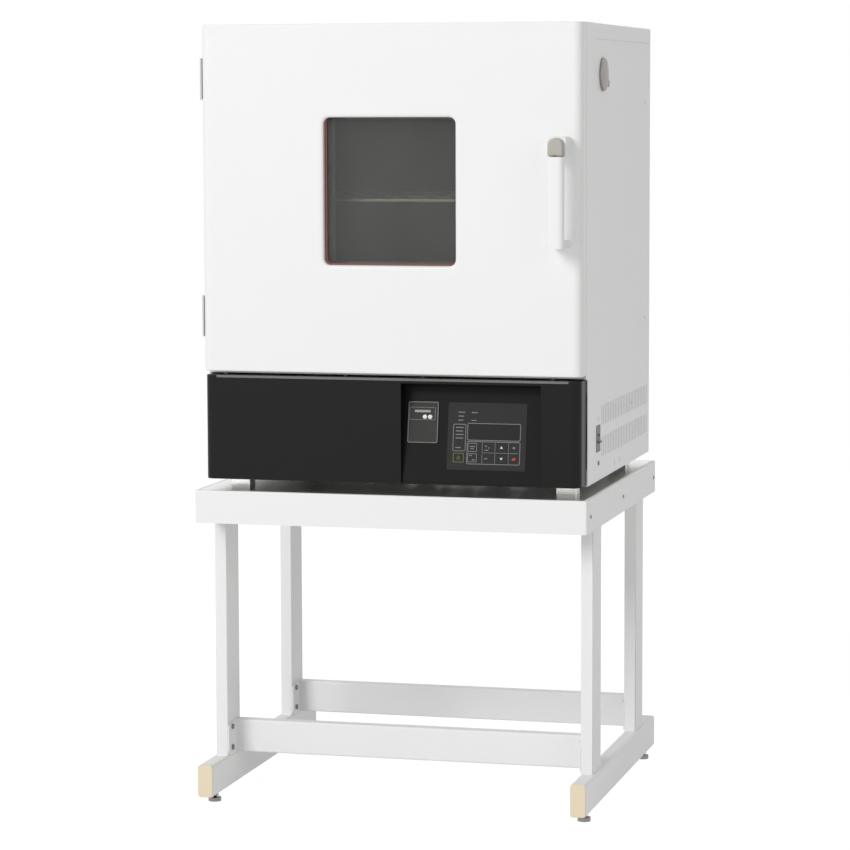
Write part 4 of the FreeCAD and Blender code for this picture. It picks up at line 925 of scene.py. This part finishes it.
def makeProtector():
    part = protector
    proud, thick = part["frames"]
    u0, u1, v0, v1, corner = part["plate"]
    plate = roundedBlock("protectorPlate", (u0, proud - part["rise"], v0), (u1, 0, v1), corner, 6)
    carve(plate, *[bar("hole", (u, 0, part["buttonUp"]), part["holeRadius"], 3 * past, "y", 40)
                   for u in part["buttonHoles"]])
    softEdges(plate, part["edge"], 2, 40)
    layOnSlope(plate)
    settle(plate, "base", "black_plastic", "protector_plate", angle=40)
    coat(plate, "plateGrey")

    face = part["rise"] - thick
    frames = joinAll("protectorFrames", [printFrame(*part["plate"], part["border"], face, thick),
                                         printFrame(*part["field"], part["fieldLine"], face, thick)])
    softEdges(frames, part["frameEdge"], 2, 40)
    layOnSlope(frames)
    settle(frames, "base", "black_plastic", angle=40)
    coat(frames, "frameGrey")

    u0, u1, v0, v1, corner = part["strip"]
    back, front = part["stripDeep"]
    strip = roundedBlock("lightStrip", (u0, -front, v0), (u1, -back, v1), corner, 4)
    softEdges(strip, part["edge"], 2, 40)
    layOnSlope(strip)
    settle(strip, "base", "black_plastic")
    coat(strip, "stripGrey")


makeProtector()
print("protector made")

# floor, backdrop and lights
studio = {
    "floorSize": 30.0,
    "floorGlow": 1.15,
    "glowShare": 0.8,
    "ambient": 0.42,
    "lamps": [
        # place, aim, size, watts, colour
        ((-4.2, -8.0, 5.0), (0.0, -0.3, 0.9), 4.0, 470.0, (1.0, 1.0, 1.0)),
        ((3.6, -3.0, 2.2), (0.2, 0.0, 0.8), 2.6, 21.0, (1.0, 0.98, 0.93)),
        ((0.0, 1.2, 4.6), (0.0, 0.0, 0.8), 3.0, 24.0, (1.0, 1.0, 1.0)),
    ],
}


def seenDirectly(w):
    # one for a ray from the camera, or mirrored or passed on by the object
    path = w.node("ShaderNodeLightPath").socket.node
    seen, mirrored, passed = [Wire(w.tree, path.outputs[ray]) for ray in
                              ("Is Camera Ray", "Is Glossy Ray", "Is Transmission Ray")]
    return w.math("MINIMUM", seen + mirrored + passed, 1.0)


def addStudio():
    world = bpy.data.worlds.new("studio")
    bpy.context.scene.world = world
    world.use_nodes = True
    world.node_tree.nodes.clear()
    w = Wire(world.node_tree)
    dim = w.node("ShaderNodeBackground", {}, {"Color": (1, 1, 1), "Strength": studio["ambient"]})
    full = w.node("ShaderNodeBackground", {}, {"Color": (1, 1, 1), "Strength": 1.0})
    mixed = w.node("ShaderNodeMixShader", {}, {0: seenDirectly(w), 1: dim, 2: full})
    w.node("ShaderNodeOutputWorld", {}, {"Surface": mixed})

    clearSelection()
    bpy.ops.mesh.primitive_plane_add(size=studio["floorSize"], location=(0, 0, 0))
    floor = bpy.context.active_object
    floor.name = "floor"
    material, w = startMaterial("paleFloor")
    matte = w.node("ShaderNodeBsdfDiffuse", {}, {"Color": (0.9, 0.9, 0.9)})
    glow = w.node("ShaderNodeEmission", {}, {"Color": (1, 1, 1), "Strength": studio["floorGlow"]})
    share = seenDirectly(w) * studio["glowShare"]
    closeMaterial(w, w.node("ShaderNodeMixShader", {}, {0: share, 1: matte, 2: glow}))
    floor.data.materials.append(material)

    for i, (stand, aim, size, watts, colour) in enumerate(studio["lamps"]):
        data = bpy.data.lights.new("lamp%d" % i, "AREA")
        data.size = size
        data.energy = watts
        data.color = colour
        lamp = bpy.data.objects.new("lamp%d" % i, data)
        bpy.context.scene.collection.objects.link(lamp)
        lamp.location = stand
        lamp.rotation_euler = (Vector(aim) - Vector(stand)).to_track_quat("-Z", "Y").to_euler()
    bpy.context.scene.view_settings.view_transform = "Standard"
    print("studio ready")


addStudio()
